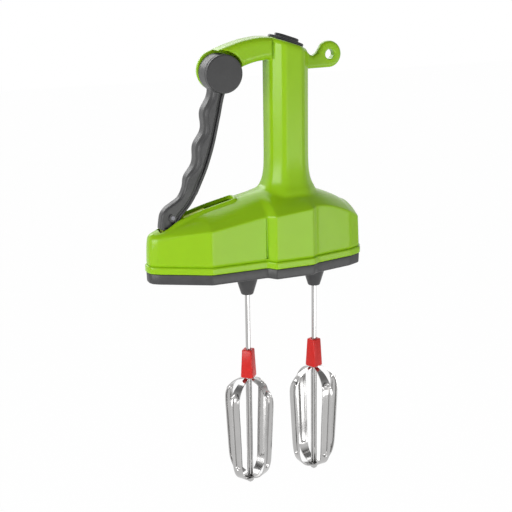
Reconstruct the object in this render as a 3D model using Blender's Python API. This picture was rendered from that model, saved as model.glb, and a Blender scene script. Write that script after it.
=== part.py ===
"""Squeeze-lever hand blender with two beaters, modelled piece by piece.

Metres, +Z up. X runs along the gear body, with the lever at -X. The front face looks along -Y.
The origin is on the hand column's axis, at the underside of the bottom cover.
"""
import math

import bmesh
import bpy
import numpy
from mathutils import Matrix, Vector

MM = 0.001
GAP = 0.3 * MM                      # clearance between neighbouring pieces
RUN_GAP = 0.5 * MM                  # clearance round the lever's hub
SHARP = math.radians(32.0)          # a steeper edge than this is shaded sharp

# Gear body
NOSE_X = -102.5 * MM
SHOULDER_X = -65.6 * MM             # where the nose reaches the full width
BULGE_START = -26.0 * MM
BULGE_END = 10.3 * MM
RIGHT_X = 53.2 * MM
BODY_HALF = 26.2 * MM               # straight flank
BULGE_OUT = 5.9 * MM                # the bulge round the idler stands proud by this much
BULGE_STEP = 4.3 * MM               # length of the bulge's slanting sides
WALL = 2.4 * MM
COVER_HEIGHT = 7.0 * MM             # dark rim of the bottom cover
COVER_PLATE = 2.5 * MM
LIP_HEIGHT = 3.0 * MM
LIP_WALL = 1.6 * MM
BEAD_OUT = 0.9 * MM
BEAD_TOP = 12.3 * MM
GROOVE_IN = 0.5 * MM
DRAFT = 0.8 * MM                    # the flanks lean in by this much
ROOF_EDGE = [(x * MM, z * MM) for x, z in (
    (-102.5, 31.0), (-92, 32.4), (-65.6, 36.6), (-26, 42.8), (6, 46.2), (12, 47.2), (24, 45.0),
    (40, 38.6), (48, 33.6), (53.2, 29.0))]
ROOF_SPINE = [(x * MM, z * MM) for x, z in (
    (-97, 34.4), (-80, 41.2), (-60, 47.4), (-45, 51.0), (-30, 54.6), (-15, 57.4), (0, 58.2),
    (15, 55.8), (25, 52.4), (36, 47.6), (42, 44.0))]

# Hand column; the flare lists (height, share of the column's half width)
COLUMN_HALF = 14.3 * MM
COLUMN_WALL = 2.6 * MM
COLUMN_RISE = 17.8 * MM             # from the lever's pivot up to the column's top
COLUMN_FOOT = 40.0 * MM
TOP_TILT = math.radians(18.3)       # the top face falls towards +X
FLARE = [(z * MM, share) for z, share in (
    (40.0, 1.34), (55.4, 1.34), (58.6, 1.22), (62.4, 1.12), (68.0, 1.05), (76.0, 1.01), (90.0, 1.0))]
CAP_LENGTH = 25.6 * MM
CAP_WIDTH = 17.0 * MM
CAP_LOW = 2.2 * MM
CAP_HIGH = 4.6 * MM
PLUG_INSET = 3.0 * MM
PLUG_DEPTH = 4.0 * MM

# Lever's pivot, and the arm that carries it
PIVOT_X = -48.0 * MM
PIVOT_Z = 137.0 * MM
HUB_R = 12.8 * MM
HUB_FRONT = -8.0 * MM
HUB_BACK = 5.0 * MM
ARM_FRONT = -9.0 * MM
ARM_BACK = 8.6 * MM
PLATE_R = 13.4 * MM
PLATE_RISE = 1.2 * MM               # the end plate's middle lies this far above the pivot
ARM_TOP = [(x * MM, z * MM) for x, z in (
    (8.0, 17.4), (13.0, 19.3), (18.0, 20.5), (24.0, 21.4), (30.0, 21.8))]
BOLT_R = 2.5 * MM
BOLT_HEAD_R = 4.3 * MM
CAP_PLUG_R = 6.0 * MM
CAP_PLUG_DEPTH = 2.8 * MM
SPRING_R = 7.4 * MM
SPRING_WIRE = 0.6 * MM
SPRING_ROOM = 1.8 * MM              # half the width of the spring's well
SPRING_TURNS = 3

# Hanging loop
LOOP_X = 32.2 * MM
LOOP_DROP = 9.2 * MM                # from the column's top down to the eye
LOOP_R = 9.0 * MM
LOOP_HOLE_R = 3.2 * MM
LOOP_HALF = 2.8 * MM

# Lever; the grip's middle line is given from the pivot
GRIP_LINE = [(x * MM, z * MM) for x, z in (
    (-1.0, -4.0), (-4.6, -15.5), (-7.2, -27.0), (-12.6, -48.0), (-20.6, -70.0), (-23.2, -76.6))]
GRIP_HALF = 7.6 * MM                # half of its depth along Y
GRIP_LEFT = 5.1 * MM                # from the middle line to the fingers
GRIP_RIGHT = 5.2 * MM               # from the middle line to the palm's side
TAPER_R = 60.0 * MM                 # the grip starts to narrow this far from the pivot
TAPER_END_R = 84.0 * MM             # and is as narrow as the foot here
GRIP_GROOVE = 1.7 * MM
FOOT_GROOVE = 0.8 * MM
FINGER_PITCH = 22.0 * MM
FINGER_DEPTH = 2.3 * MM
FINGER_TOP = 22.0 * MM              # the first bump lies this far below the pivot
FINGER_FADE_R = 70.0 * MM
FOOT_HALF = 4.3 * MM

# Gear train
MODULE = 1.0 * MM
PINION_TEETH = 10
DRIVE_TEETH = 27
BEATER_TEETH = 12
IDLER_TEETH = 40
ADDENDUM = 0.8 * MM
DEDENDUM = 1.1 * MM
ROOT_SHARE = 0.31                   # half of a tooth's width at its root, as a share of the pitch
TIP_SHARE = 0.12                    # the same at its tip
GEAR_Z = 8.2 * MM
GEAR_WIDTH = 5.3 * MM
COMPOUND_AXLE_R = 1.5 * MM
IDLER_AXLE_R = 2.0 * MM
AXLE_FOOT = 1.2 * MM
BOSS_WALL = 2.2 * MM
CLIP = 0.8 * MM

# Rack, the lever's foot that holds it, and the slot in the roof
RACK_RISE = 5.5 * MM                # from the gears' top to the rack's lowest point
RACK_TOOTH_HEIGHT = 6.8 * MM
RACK_HOLD = 14.4 * MM               # the lever's foot holds the rack over this height
FOOT_RISE = 0.8 * MM                # the foot ends this far above the teeth
RACK_TAIL = math.radians(-23.2)
RACK_HEAD = math.radians(3.4)
TONGUE_START = math.radians(-17.0)
TONGUE_END = math.radians(-8.1)
TONGUE_DROP = 0.5 * MM              # the tongue lies this far under the roof's ridge
FORK_END = math.radians(-10.0)
PIN_R = 1.4 * MM
PINS = [(4.4 * MM, math.radians(-21.4)), (10.5 * MM, math.radians(-19.8))]
SLOT_HALF = 5.2 * MM
SLOT_LEFT = -94.2 * MM
SLOT_RIGHT = -41.4 * MM

# Cover screws
SCREW_PLACES = [(x * MM, y * MM) for x, y in ((-80, -11), (-80, 11), (36, -14), (36, 14))]
SCREW_R = 1.5 * MM
SCREW_HEAD_R = 2.8 * MM
SCREW_END = 13.6 * MM
HEAD_DEPTH = 1.6 * MM
POST_R = 3.4 * MM

# Beaters
BEATER_LEFT_X = -30.5 * MM
BEATER_SPACING = 52.0 * MM
ROD_R = 1.75 * MM
STEM_R = 2.2 * MM
ROD_TIP_R = 1.3 * MM
ROD_TOP = 16.4 * MM
BOSS_TOP_R = 9.0 * MM
BOSS_END_R = 4.5 * MM
BOSS_END = -17.6 * MM
BUSH_R = 3.0 * MM
BUSH_FLANGE = 1.2 * MM
COLLAR_TOP = -58.8 * MM
COLLAR_END = -79.6 * MM
COLLAR_HALF_TOP = 3.7 * MM
COLLAR_HALF_END = 4.6 * MM
COLLAR_TURN = math.radians(15.0)
POCKET_R = 3.55 * MM
POCKET_DEPTH = 9.6 * MM
NECK_R = 2.85 * MM
STEM_DROP = 1.2 * MM                # the stem starts this far below the collar
BLADE = 0.8 * MM                    # sheet thickness
CAGE_R = 19.2 * MM
CAGE_END = -158.6 * MM
TIP_NUT_R = 2.7 * MM
TIP_NUT = 3.0 * MM
LEFT_PHASE = math.radians(32.0)
RIGHT_PHASE = math.radians(7.0)
HOOP_WIDTH = [(z * MM, w * MM) for z, w in (
    (60, 1.5), (80, 1.5), (84, 2.5), (90, 3.4), (96, 4.1), (110, 4.3), (140, 4.1), (150, 3.6),
    (157, 3.1), (160, 3.1))]
HOOP_TROUGH = [(z * MM, d * MM) for z, d in (
    (60, 0.0), (89, 0.0), (94, 1.3), (142, 1.3), (147, 0.0), (160, 0.0))]

# Worked out from the sizes above
BULGE_HALF = BODY_HALF + BULGE_OUT
HOUSING_RIM = COVER_HEIGHT + GAP
CENTRE = (PIVOT_X, PIVOT_Z)
COLUMN_TOP = PIVOT_Z + COLUMN_RISE
LOOP_Z = COLUMN_TOP - LOOP_DROP
BEATER_RIGHT_X = BEATER_LEFT_X + BEATER_SPACING
IDLER_X = (BEATER_LEFT_X + BEATER_RIGHT_X) / 2
DRIVE_R = MODULE * DRIVE_TEETH / 2
BEATER_GEAR_R = MODULE * BEATER_TEETH / 2
PINION_R = MODULE * PINION_TEETH / 2
COMPOUND_Y = math.sqrt((DRIVE_R + BEATER_GEAR_R) ** 2 - (PIVOT_X - BEATER_LEFT_X) ** 2)
COMPOUND_PLACE = (PIVOT_X, COMPOUND_Y)
IDLER_PLACE = (IDLER_X, 0.0)
GEAR_TOP = GEAR_Z + GEAR_WIDTH
RACK_OUT = PIVOT_Z - GEAR_TOP - RACK_RISE
RACK_TOOTH_IN = RACK_OUT - RACK_TOOTH_HEIGHT
FOOT_R = RACK_TOOTH_IN - FOOT_RISE
RACK_IN = FOOT_R - RACK_HOLD
RACK_PITCH_Y = COMPOUND_Y - PINION_R
RACK_HALF = RACK_PITCH_Y - DEDENDUM
PINION_TOP = PIVOT_Z - RACK_TOOTH_IN - GAP
BUSH_SEAT = GEAR_Z - 2 * GAP - BUSH_FLANGE
POCKET_TOP = COLLAR_END + POCKET_DEPTH

# The foot's edges as (height above its sole, angle in degrees from straight down)
FOOT_FINGERS = [(h * MM, math.radians(a)) for h, a in (
    (27.8, -20.3), (24.2, -20.7), (21.5, -21.7), (18.4, -23.2), (14.6, -24.7), (9.8, -25.4),
    (4.1, -24.8), (0.0, -24.2))]
FOOT_PALM = [(h * MM, math.radians(a)) for h, a in (
    (27.7, -13.7), (23.9, -14.5), (20.4, -15.4), (16.2, -16.7), (12.6, -17.7), (8.2, -18.3),
    (4.3, -17.8), (0.0, -16.7))]

GREEN = ("green_plastic", (0.30, 0.57, 0.01), 0.25, 0.0)
DARK = ("dark_grey_plastic", (0.075, 0.075, 0.078), 0.42, 0.0)
BLACK = ("black_plastic", (0.02, 0.02, 0.022), 0.35, 0.0)
RED = ("red_plastic", (0.62, 0.05, 0.04), 0.35, 0.0)
STEEL = ("bright_steel", (0.62, 0.61, 0.60), 0.2, 1.0)
NYLON = ("white_nylon", (0.78, 0.76, 0.70), 0.5, 0.0)
LIME = ("lime_nylon", (0.40, 0.58, 0.03), 0.4, 0.0)
BRASS = ("brass", (0.60, 0.45, 0.16), 0.35, 1.0)


def material(spec):
    """Give the Principled material of this spec, made on first use."""
    name, colour, roughness, metallic = spec
    found = bpy.data.materials.get(name)
    if found:
        return found
    made = bpy.data.materials.new(name)
    made.use_nodes = True
    shader = made.node_tree.nodes["Principled BSDF"]
    shader.inputs["Base Color"].default_value = (*colour, 1.0)
    shader.inputs["Roughness"].default_value = roughness
    shader.inputs["Metallic"].default_value = metallic
    return made


def make(name, bm, spec):
    """Turn a bmesh into a named object whose faces point out."""
    bmesh.ops.recalc_face_normals(bm, faces=bm.faces[:])
    mesh = bpy.data.meshes.new(name)
    bm.to_mesh(mesh)
    bm.free()
    mesh.materials.append(material(spec))
    mesh.shade_smooth()
    mesh.set_sharp_from_angle(angle=SHARP)
    thing = bpy.data.objects.new(name, mesh)
    bpy.context.scene.collection.objects.link(thing)
    return thing


def baked(thing, step):
    """Apply an object's one modifier."""
    bpy.context.view_layer.update()
    shaped = bpy.data.meshes.new_from_object(thing.evaluated_get(bpy.context.evaluated_depsgraph_get()))
    thing.modifiers.remove(step)
    thing.data = shaped
    shaped.shade_smooth()
    shaped.set_sharp_from_angle(angle=SHARP)
    return thing


def combine(target, tool, operation):
    """Apply one exact Boolean; the tool is a finished object or a bmesh, and is used up."""
    if isinstance(tool, bmesh.types.BMesh):
        tool = make("tool", tool, DARK)
        tool.data.materials[0] = target.data.materials[0]
    step = target.modifiers.new("step", "BOOLEAN")
    step.operation = operation
    step.object = tool
    step.solver = "EXACT"
    baked(target, step)
    bpy.data.objects.remove(tool)
    return target


def joined(target, *tools):
    """Add the tools to the target."""
    for tool in tools:
        combine(target, tool, "UNION")
    return target


def cut(target, *tools):
    """Take the tools out of the target."""
    for tool in tools:
        combine(target, tool, "DIFFERENCE")
    return target


def bevelled(thing, width, segments=2):
    """Round the sharp edges of an object."""
    step = thing.modifiers.new("round", "BEVEL")
    step.width = width
    step.segments = segments
    step.limit_method = "ANGLE"
    step.angle_limit = math.radians(35.0)
    return baked(thing, step)


def loft(rings, closed=False):
    """Skin rings of equal length, with flat ends, or joined end to end when closed."""
    bm = bmesh.new()
    rows = [[bm.verts.new(point) for point in ring] for ring in rings]
    pairs = list(zip(rows, rows[1:]))
    if closed:
        pairs.append((rows[-1], rows[0]))
    for one, two in pairs:
        for i in range(len(one)):
            j = (i + 1) % len(one)
            bm.faces.new((one[i], one[j], two[j], two[i]))
    if not closed:
        bm.faces.new(rows[0][::-1])
        bm.faces.new(rows[-1])
    return bm


def prism_y(outline, front, back):
    """Extrude an outline of (x, z) points along Y."""
    return loft([[Vector((x, y, z)) for x, z in outline] for y in (front, back)])


def prism_z(outline, low, high):
    """Extrude an outline of (x, y) points along Z."""
    return loft([[Vector((x, y, z)) for x, y in outline] for z in (low, high)])


def arc(centre, radius, start, end, count):
    """Points on an arc, with angles in radians from the first axis."""
    span = [start + (end - start) * i / (count - 1) for i in range(count)]
    return [(centre[0] + radius * math.cos(a), centre[1] + radius * math.sin(a)) for a in span]


def circle(centre, radius, count, turn=0.0):
    """A closed ring of points."""
    return arc(centre, radius, turn, turn + math.tau * (count - 1) / count, count)


def turned(profile, centre=(0.0, 0.0), count=24):
    """Turn a closed loop of (radius, z) points round a vertical axis, clear of the axis."""
    rings = []
    for x, y in circle((0.0, 0.0), 1.0, count):
        rings.append([Vector((centre[0] + r * x, centre[1] + r * y, z)) for r, z in profile])
    return loft(rings, closed=True)


def stacked(profile, centre=(0.0, 0.0), count=24, turn=0.0):
    """Stack rings of (radius, z) on a vertical axis, with flat ends."""
    return loft([[Vector((x, y, z)) for x, y in circle(centre, r, count, turn)] for r, z in profile])


def post(radius, low, high, centre, count=16):
    """An upright cylinder."""
    return stacked([(radius, low), (radius, high)], centre, count)


def along_y(bm, centre=CENTRE):
    """Lay a shape made on the Z axis along Y instead: its z becomes y."""
    swap = Matrix(((1, 0, 0, centre[0]), (0, 0, 1, 0), (0, -1, 0, centre[1]), (0, 0, 0, 1)))
    bmesh.ops.transform(bm, matrix=swap, verts=bm.verts[:])
    return bm


def peg(radius, front, back, centre=CENTRE, count=20):
    """A cylinder along Y."""
    return along_y(stacked([(radius, front), (radius, back)], count=count), centre)


def curve_through(points, x):
    """Read a smooth line through (x, value) points, without overshoot past its ends."""
    if x <= points[0][0]:
        return points[0][1]
    if x >= points[-1][0]:
        return points[-1][1]
    i = next(k for k in range(len(points) - 1) if x <= points[k + 1][0])
    x0, y0 = points[i]
    x1, y1 = points[i + 1]
    before = points[i - 1] if i else (2 * x0 - x1, 2 * y0 - y1)
    after = points[i + 2] if i + 2 < len(points) else (2 * x1 - x0, 2 * y1 - y0)
    run = x1 - x0
    slope0 = (y1 - before[1]) / (x1 - before[0]) * run
    slope1 = (after[1] - y0) / (after[0] - x0) * run
    t = (x - x0) / run
    return ((2 * t ** 3 - 3 * t ** 2 + 1) * y0 + (t ** 3 - 2 * t ** 2 + t) * slope0
            + (3 * t ** 2 - 2 * t ** 3) * y1 + (t ** 3 - t ** 2) * slope1)


def smooth_path(points, steps):
    """A rounder path through 2-D points, with this many steps between neighbours."""
    lengths = [0.0]
    for one, two in zip(points, points[1:]):
        lengths.append(lengths[-1] + math.dist(one, two))
    first = [(s, p[0]) for s, p in zip(lengths, points)]
    second = [(s, p[1]) for s, p in zip(lengths, points)]
    marks = []
    for one, two in zip(lengths, lengths[1:]):
        marks += [one + (two - one) * i / steps for i in range(steps)]
    marks.append(lengths[-1])
    return [(curve_through(first, s), curve_through(second, s)) for s in marks]


def eased(value, start, end):
    """A soft step from 0 at start to 1 at end."""
    t = min(1.0, max(0.0, (value - start) / (end - start)))
    return t * t * (3 - 2 * t)


def below_pivot(radius, angle):
    """A point (x, z) at a distance from the pivot; the angle is from straight down."""
    return (PIVOT_X + radius * math.sin(angle), PIVOT_Z - radius * math.cos(angle))


def half_plan():
    """Half of the gear body's outline, (x, half width), from the nose to the right end."""
    corners = [
        (NOSE_X, 2.5 * MM),
        (NOSE_X + 1.2 * MM, 5.6 * MM),
        (NOSE_X + 5.0 * MM, 8.6 * MM),
        (SHOULDER_X, BODY_HALF),
        (BULGE_START, BODY_HALF),
        (BULGE_START + BULGE_STEP, BULGE_HALF),
        (BULGE_END - BULGE_STEP, BULGE_HALF),
        (BULGE_END, BULGE_HALF - 3.3 * MM),
        (RIGHT_X - 14.2 * MM, BODY_HALF - 3.6 * MM),
        (RIGHT_X - 5.4 * MM, BODY_HALF - 7.8 * MM),
        (RIGHT_X - 1.7 * MM, BODY_HALF - 15.0 * MM),
        (RIGHT_X, 3.0 * MM),
    ]
    longest = 12.0 * MM
    stations = []
    for one, two in zip(corners, corners[1:]):
        parts = max(1, math.ceil((two[0] - one[0]) / longest))
        for i in range(parts):
            t = i / parts
            stations.append((one[0] + (two[0] - one[0]) * t, one[1] + (two[1] - one[1]) * t))
    stations.append(corners[-1])
    return stations


def plan(offset):
    """The whole outline moved out by an offset, from the nose's front side round to its back."""
    half = half_plan()
    loop = [(x, -w) for x, w in half] + [(x, w) for x, w in reversed(half)]
    moved = []
    for i, (x, y) in enumerate(loop):
        here = Vector((x, y))
        one = (here - Vector(loop[i - 1])).normalized()
        two = (Vector(loop[(i + 1) % len(loop)]) - here).normalized()
        out_one = Vector((one.y, -one.x))
        out_two = Vector((two.y, -two.x))
        miter = (out_one + out_two).normalized()
        moved.append(tuple(here + miter * offset / max(0.5, miter.dot(out_one))))
    return moved


def roof_ring(outline, t, drop):
    """One ring of the roof, drawn in by t from the outline towards the spine."""
    ring = []
    for x, y in outline:
        spine_x = min(max(x, ROOF_SPINE[0][0]), ROOF_SPINE[-1][0])
        edge = curve_through(ROOF_EDGE, x)
        rise = curve_through(ROOF_SPINE, spine_x) - edge
        z = edge + rise * (1 - (1 - t) ** 2) - drop
        ring.append(Vector((x + (spine_x - x) * t, y * (1 - t), z)))
    return ring


def body_solid(levels, roof_offset, steps, drop):
    """A closed body: wall rings (z, offset), roof rings, and a strip across the spine."""
    outline = plan(roof_offset)
    rings = [[Vector((x, y, z)) for x, y in plan(offset)] for z, offset in levels]
    rings += [roof_ring(outline, t, drop) for t in steps]
    bm = loft(rings)
    bm.faces.ensure_lookup_table()
    bm.faces.remove(bm.faces[-1])
    bm.verts.ensure_lookup_table()
    top = bm.verts[-len(outline):]
    for i in range(len(outline) // 2 - 1):
        bm.faces.new((top[i], top[i + 1], top[-2 - i], top[-1 - i]))
    return bm


def inner_body(inset, low):
    """The gear body's outside moved in, used to hollow it and to trim what stands in it."""
    walls = [(low, -inset), (BEAD_TOP, -inset)]
    return body_solid(walls, -DRAFT - inset, (0.0, 0.2, 0.5, 0.88), inset)


def column_ring(half, z, tilt):
    """An octagon with narrow flats on its corners, its top tilted down towards +X."""
    corner = math.radians(27.0)
    flat = math.radians(5.5)
    reach = half / math.cos(corner - flat)
    ring = []
    for k in range(4):
        for side in (corner, math.pi / 2 - corner):
            for a in (side - flat, side + flat):
                angle = k * math.pi / 2 + a
                x = reach * math.cos(angle)
                ring.append(Vector((x, reach * math.sin(angle), z - tilt * math.tan(TOP_TILT) * x)))
    return ring


def column_solid(rings):
    """Stack octagon rings of (half width, z, tilt)."""
    return loft([column_ring(half, z, tilt) for half, z, tilt in rings])


def stadium(length, width):
    """An oblong outline with round ends, centred on the origin."""
    straight = (length - width) / 2
    right = arc((straight, 0), width / 2, -math.pi / 2, math.pi / 2, 10)
    left = arc((-straight, 0), width / 2, math.pi / 2, 3 * math.pi / 2, 10)
    return right + left


def on_top(bm):
    """Move a shape from the origin to the column's tilted top face."""
    place = Matrix.Translation((0, 0, COLUMN_TOP)) @ Matrix.Rotation(TOP_TILT, 4, "Y")
    bmesh.ops.transform(bm, matrix=place, verts=bm.verts[:])
    return bm


def arm():
    """The arm from the column to the lever's end plate, hollowed in front for the hub."""
    plate = (PIVOT_X, PIVOT_Z + PLATE_RISE)
    outline = arc(plate, PLATE_R, math.radians(9), math.radians(-252), 22)
    outline += [(PIVOT_X + x, PIVOT_Z + z) for x, z in ARM_TOP]
    outline += [(-COLUMN_HALF + 2.3 * MM, COLUMN_TOP + 3.4 * MM), (-3 * MM, COLUMN_TOP - 1 * MM),
                (-3 * MM, PIVOT_Z + 7 * MM), (-COLUMN_HALF, PIVOT_Z + 7.6 * MM)]
    solid = bevelled(make("arm", prism_y(outline, ARM_FRONT, ARM_BACK), GREEN), 1.6 * MM)
    front = ARM_FRONT - 5 * MM
    return cut(solid, peg(HUB_R + RUN_GAP + GAP, front, HUB_BACK + GAP, count=40),
               peg(PLATE_R + GAP, front, HUB_BACK + GAP, plate, 40))


def loop():
    """The hanging loop's lug with its eye."""
    outline = arc((LOOP_X, LOOP_Z), LOOP_R, math.radians(-95), math.radians(130), 16)
    outline += [(COLUMN_HALF + 3.4 * MM, LOOP_Z + 1.4 * MM), (COLUMN_HALF - 5.6 * MM, LOOP_Z + 0.8 * MM),
                (COLUMN_HALF - 5.6 * MM, LOOP_Z - LOOP_R - 0.4 * MM)]
    lug = bevelled(make("lug", prism_y(outline, -LOOP_HALF, LOOP_HALF), GREEN), 0.9 * MM)
    return cut(lug, peg(LOOP_HOLE_R, -2 * LOOP_HALF, 2 * LOOP_HALF, (LOOP_X, LOOP_Z), 16))


def upper_housing():
    """Green shell: gear body, hand column, lever arm and hanging loop in one moulding."""
    levels = [(HOUSING_RIM, 0.4 * MM), (HOUSING_RIM + 0.6 * MM, BEAD_OUT), (BEAD_TOP - 0.6 * MM, BEAD_OUT),
              (BEAD_TOP, 0.3 * MM), (BEAD_TOP + 0.2 * MM, -GROOVE_IN), (BEAD_TOP + 0.9 * MM, -GROOVE_IN),
              (BEAD_TOP + 1.2 * MM, 0.0)]
    shell = make("upper_housing", body_solid(levels, -DRAFT, (0.0, 0.05, 0.2, 0.42, 0.66, 0.88), 0.0), GREEN)
    column = [(COLUMN_HALF * share, z, 0) for z, share in FLARE]
    column += [(COLUMN_HALF * share, COLUMN_TOP - drop, tilt) for share, drop, tilt in (
        (0.99, 1.8 * COLUMN_HALF, 0), (0.99, 4.5 * MM, 1), (0.95, 1.5 * MM, 1), (0.84, 0.0, 1))]
    inside = COLUMN_HALF - COLUMN_WALL
    bore = column_solid([(inside, COLUMN_FOOT, 0), (inside, COLUMN_TOP - 2 * COLUMN_HALF, 0),
                         (inside, COLUMN_TOP - 9 * MM, 1)])
    joined(shell, column_solid(column), arm(), loop())
    cut(shell, inner_body(WALL, -1 * MM), bore)
    for place in SCREW_PLACES:
        pillar = make("pillar", post(POST_R, COVER_PLATE + GAP, 2 * COLUMN_FOOT, place), GREEN)
        combine(pillar, inner_body(WALL / 2, 0.0), "INTERSECT")
        joined(shell, pillar)
        cut(shell, post(SCREW_R + GAP, -1 * MM, SCREW_END + GAP, place))
    slot = prism_z([(SLOT_LEFT, -SLOT_HALF), (SLOT_RIGHT, -SLOT_HALF), (SLOT_RIGHT, SLOT_HALF),
                    (SLOT_LEFT, SLOT_HALF)], COLUMN_FOOT / 2, 2 * COLUMN_FOOT)
    seat = 2 * (GAP - PLUG_INSET)
    hole = on_top(prism_z(stadium(CAP_LENGTH + seat, CAP_WIDTH + seat), -20 * MM, 10 * MM))
    anchor = peg(SPRING_WIRE + 0.4 * MM, HUB_BACK, HUB_BACK + 3 * MM, (PIVOT_X + SPRING_R, PIVOT_Z), 10)
    return cut(shell, slot, hole, anchor, peg(BOLT_R + GAP, HUB_BACK, ARM_BACK + 1 * MM))


def top_cap():
    """Black two-step cap in the column's top, with its plug."""
    steps = [(2 * PLUG_INSET, 2 * PLUG_INSET, -PLUG_DEPTH), (2 * PLUG_INSET, 2 * PLUG_INSET, GAP),
             (0.0, 0.0, GAP), (0.0, 0.0, CAP_LOW - 0.6 * MM), (1.4 * MM, 1.4 * MM, CAP_LOW),
             (8.6 * MM, 6.6 * MM, CAP_LOW), (8.8 * MM, 6.8 * MM, CAP_HIGH - 0.7 * MM),
             (10.6 * MM, 8.6 * MM, CAP_HIGH)]
    rings = []
    for shorter, narrower, z in steps:
        rings.append([Vector((x, y, z)) for x, y in stadium(CAP_LENGTH - shorter, CAP_WIDTH - narrower)])
    return make("top_cap", on_top(loft(rings)), BLACK)


def bottom_cover():
    """Dark cover that closes the gear body and carries the bushes and axles."""
    inset = -WALL - GAP
    outer = [[Vector((x, y, z)) for x, y in plan(offset)] for z, offset in (
        (0.0, -1.4 * MM), (1.2 * MM, 0.0), (COVER_HEIGHT, 0.2 * MM))]
    cover = make("bottom_cover", loft(outer), DARK)
    joined(cover, prism_z(plan(inset), COVER_PLATE - 1 * MM, COVER_HEIGHT + LIP_HEIGHT))
    cut(cover, prism_z(plan(inset - LIP_WALL), COVER_PLATE, 3 * COVER_HEIGHT))
    hub = BUSH_R + BOSS_WALL
    for x in (BEATER_LEFT_X, BEATER_RIGHT_X):
        joined(cover, stacked([(BOSS_END_R - 0.5 * MM, BOSS_END), (BOSS_END_R, BOSS_END + 0.8 * MM),
                               (BOSS_TOP_R, 0.6 * MM), (hub, 1.5 * MM), (hub, BUSH_SEAT)], (x, 0)))
        cut(cover, post(BUSH_R + GAP, BOSS_END - 1 * MM, BUSH_SEAT + 1 * MM, (x, 0), 20))
    for place, radius in ((COMPOUND_PLACE, COMPOUND_AXLE_R), (IDLER_PLACE, IDLER_AXLE_R)):
        joined(cover, post(radius + BOSS_WALL, 1.5 * MM, GEAR_Z - GAP, place, 20))
        cut(cover, post(radius + GAP, AXLE_FOOT - GAP, GEAR_Z, place))
    cut(cover, post(DRIVE_R + ADDENDUM + 2 * GAP, GEAR_Z - GAP, 2 * COLUMN_FOOT, COMPOUND_PLACE, 32))
    for place in SCREW_PLACES:
        cut(cover, post(SCREW_R + GAP, HEAD_DEPTH / 2, COVER_PLATE + 1 * MM, place, 12),
            post(SCREW_HEAD_R + GAP, -1 * MM, HEAD_DEPTH, place, 20),
            post(POST_R + GAP, COVER_PLATE, 2 * COLUMN_FOOT, place, 20))
    return cover


def cover_screws():
    """Four screws from below, each with a cross slot."""
    long = 1.8 * MM
    short = 0.35 * MM
    for number, (x, y) in enumerate(SCREW_PLACES, 1):
        under = HEAD_DEPTH - GAP
        profile = [(SCREW_HEAD_R - 0.5 * MM, 0.1 * MM), (SCREW_HEAD_R, 0.5 * MM), (SCREW_HEAD_R, under),
                   (SCREW_R, under), (SCREW_R, SCREW_END - 1 * MM), (0.5 * MM, SCREW_END)]
        screw = make(f"cover_screw_{number}", stacked(profile, (x, y), 16), STEEL)
        for a, b in ((long, short), (short, long)):
            slit = [(x - a, y - b), (x + a, y - b), (x + a, y + b), (x - a, y + b)]
            cut(screw, prism_z(slit, -1 * MM, HEAD_DEPTH / 2))


def pivot_parts():
    """The bolt on which the lever turns, its nut, and the cap over its head."""
    head = HUB_FRONT + CAP_PLUG_DEPTH - GAP
    low = ARM_BACK + GAP
    end = low + 3.4 * MM
    bolt = [(BOLT_HEAD_R - 0.7 * MM, head - 2.1 * MM), (BOLT_HEAD_R, head - 1.5 * MM), (BOLT_HEAD_R, head),
            (BOLT_R, head), (BOLT_R, end - 0.5 * MM), (BOLT_R - 0.5 * MM, end)]
    make("pivot_bolt", along_y(stacked(bolt, count=20)), STEEL)
    nut = stacked([(4.3 * MM, low), (4.6 * MM, low + 0.4 * MM), (4.6 * MM, low + 2.4 * MM),
                   (4.1 * MM, low + 2.8 * MM)], count=6)
    cut(make("pivot_nut", along_y(nut), STEEL), peg(BOLT_R + GAP, low - 1 * MM, end + 1 * MM))
    face = HUB_FRONT - GAP
    cap = stacked([(HUB_R - 1.2 * MM, face - 2.3 * MM), (HUB_R - 0.3 * MM, face - 1.9 * MM),
                   (HUB_R - 0.1 * MM, face - 1.2 * MM), (HUB_R - 0.1 * MM, face), (CAP_PLUG_R, face),
                   (CAP_PLUG_R, face + 2.0 * MM)], count=28)
    cut(make("pivot_cap", along_y(cap), DARK), peg(CAP_PLUG_R - 1.2 * MM, face + 0.2 * MM, face + 4 * MM))


def return_spring():
    """Torsion spring round the pivot, anchored by a leg in the arm's end plate."""
    per_turn = 10
    count = SPRING_TURNS * per_turn
    first = HUB_BACK - 7.2 * MM
    last = HUB_BACK - 1.3 * MM
    points = []
    for i in range(count + 1):
        a = math.tau * i / per_turn
        y = first + (last - first) * i / count
        points.append(Vector((PIVOT_X + SPRING_R * math.cos(a), y, PIVOT_Z - SPRING_R * math.sin(a))))
    corner = points[-1]
    points.append(corner + Vector((0, 1.4 * MM, -0.25 * MM)))
    points.append(Vector((corner.x, HUB_BACK + 2.4 * MM, corner.z)))
    line = bpy.data.curves.new("return_spring", "CURVE")
    line.dimensions = "3D"
    line.bevel_depth = SPRING_WIRE
    line.bevel_resolution = 1
    line.use_fill_caps = True
    run = line.splines.new("POLY")
    run.points.add(len(points) - 1)
    for slot, point in zip(run.points, points):
        slot.co = (*point, 1.0)
    line.materials.append(material(STEEL))
    bpy.context.scene.collection.objects.link(bpy.data.objects.new("return_spring", line))


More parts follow.
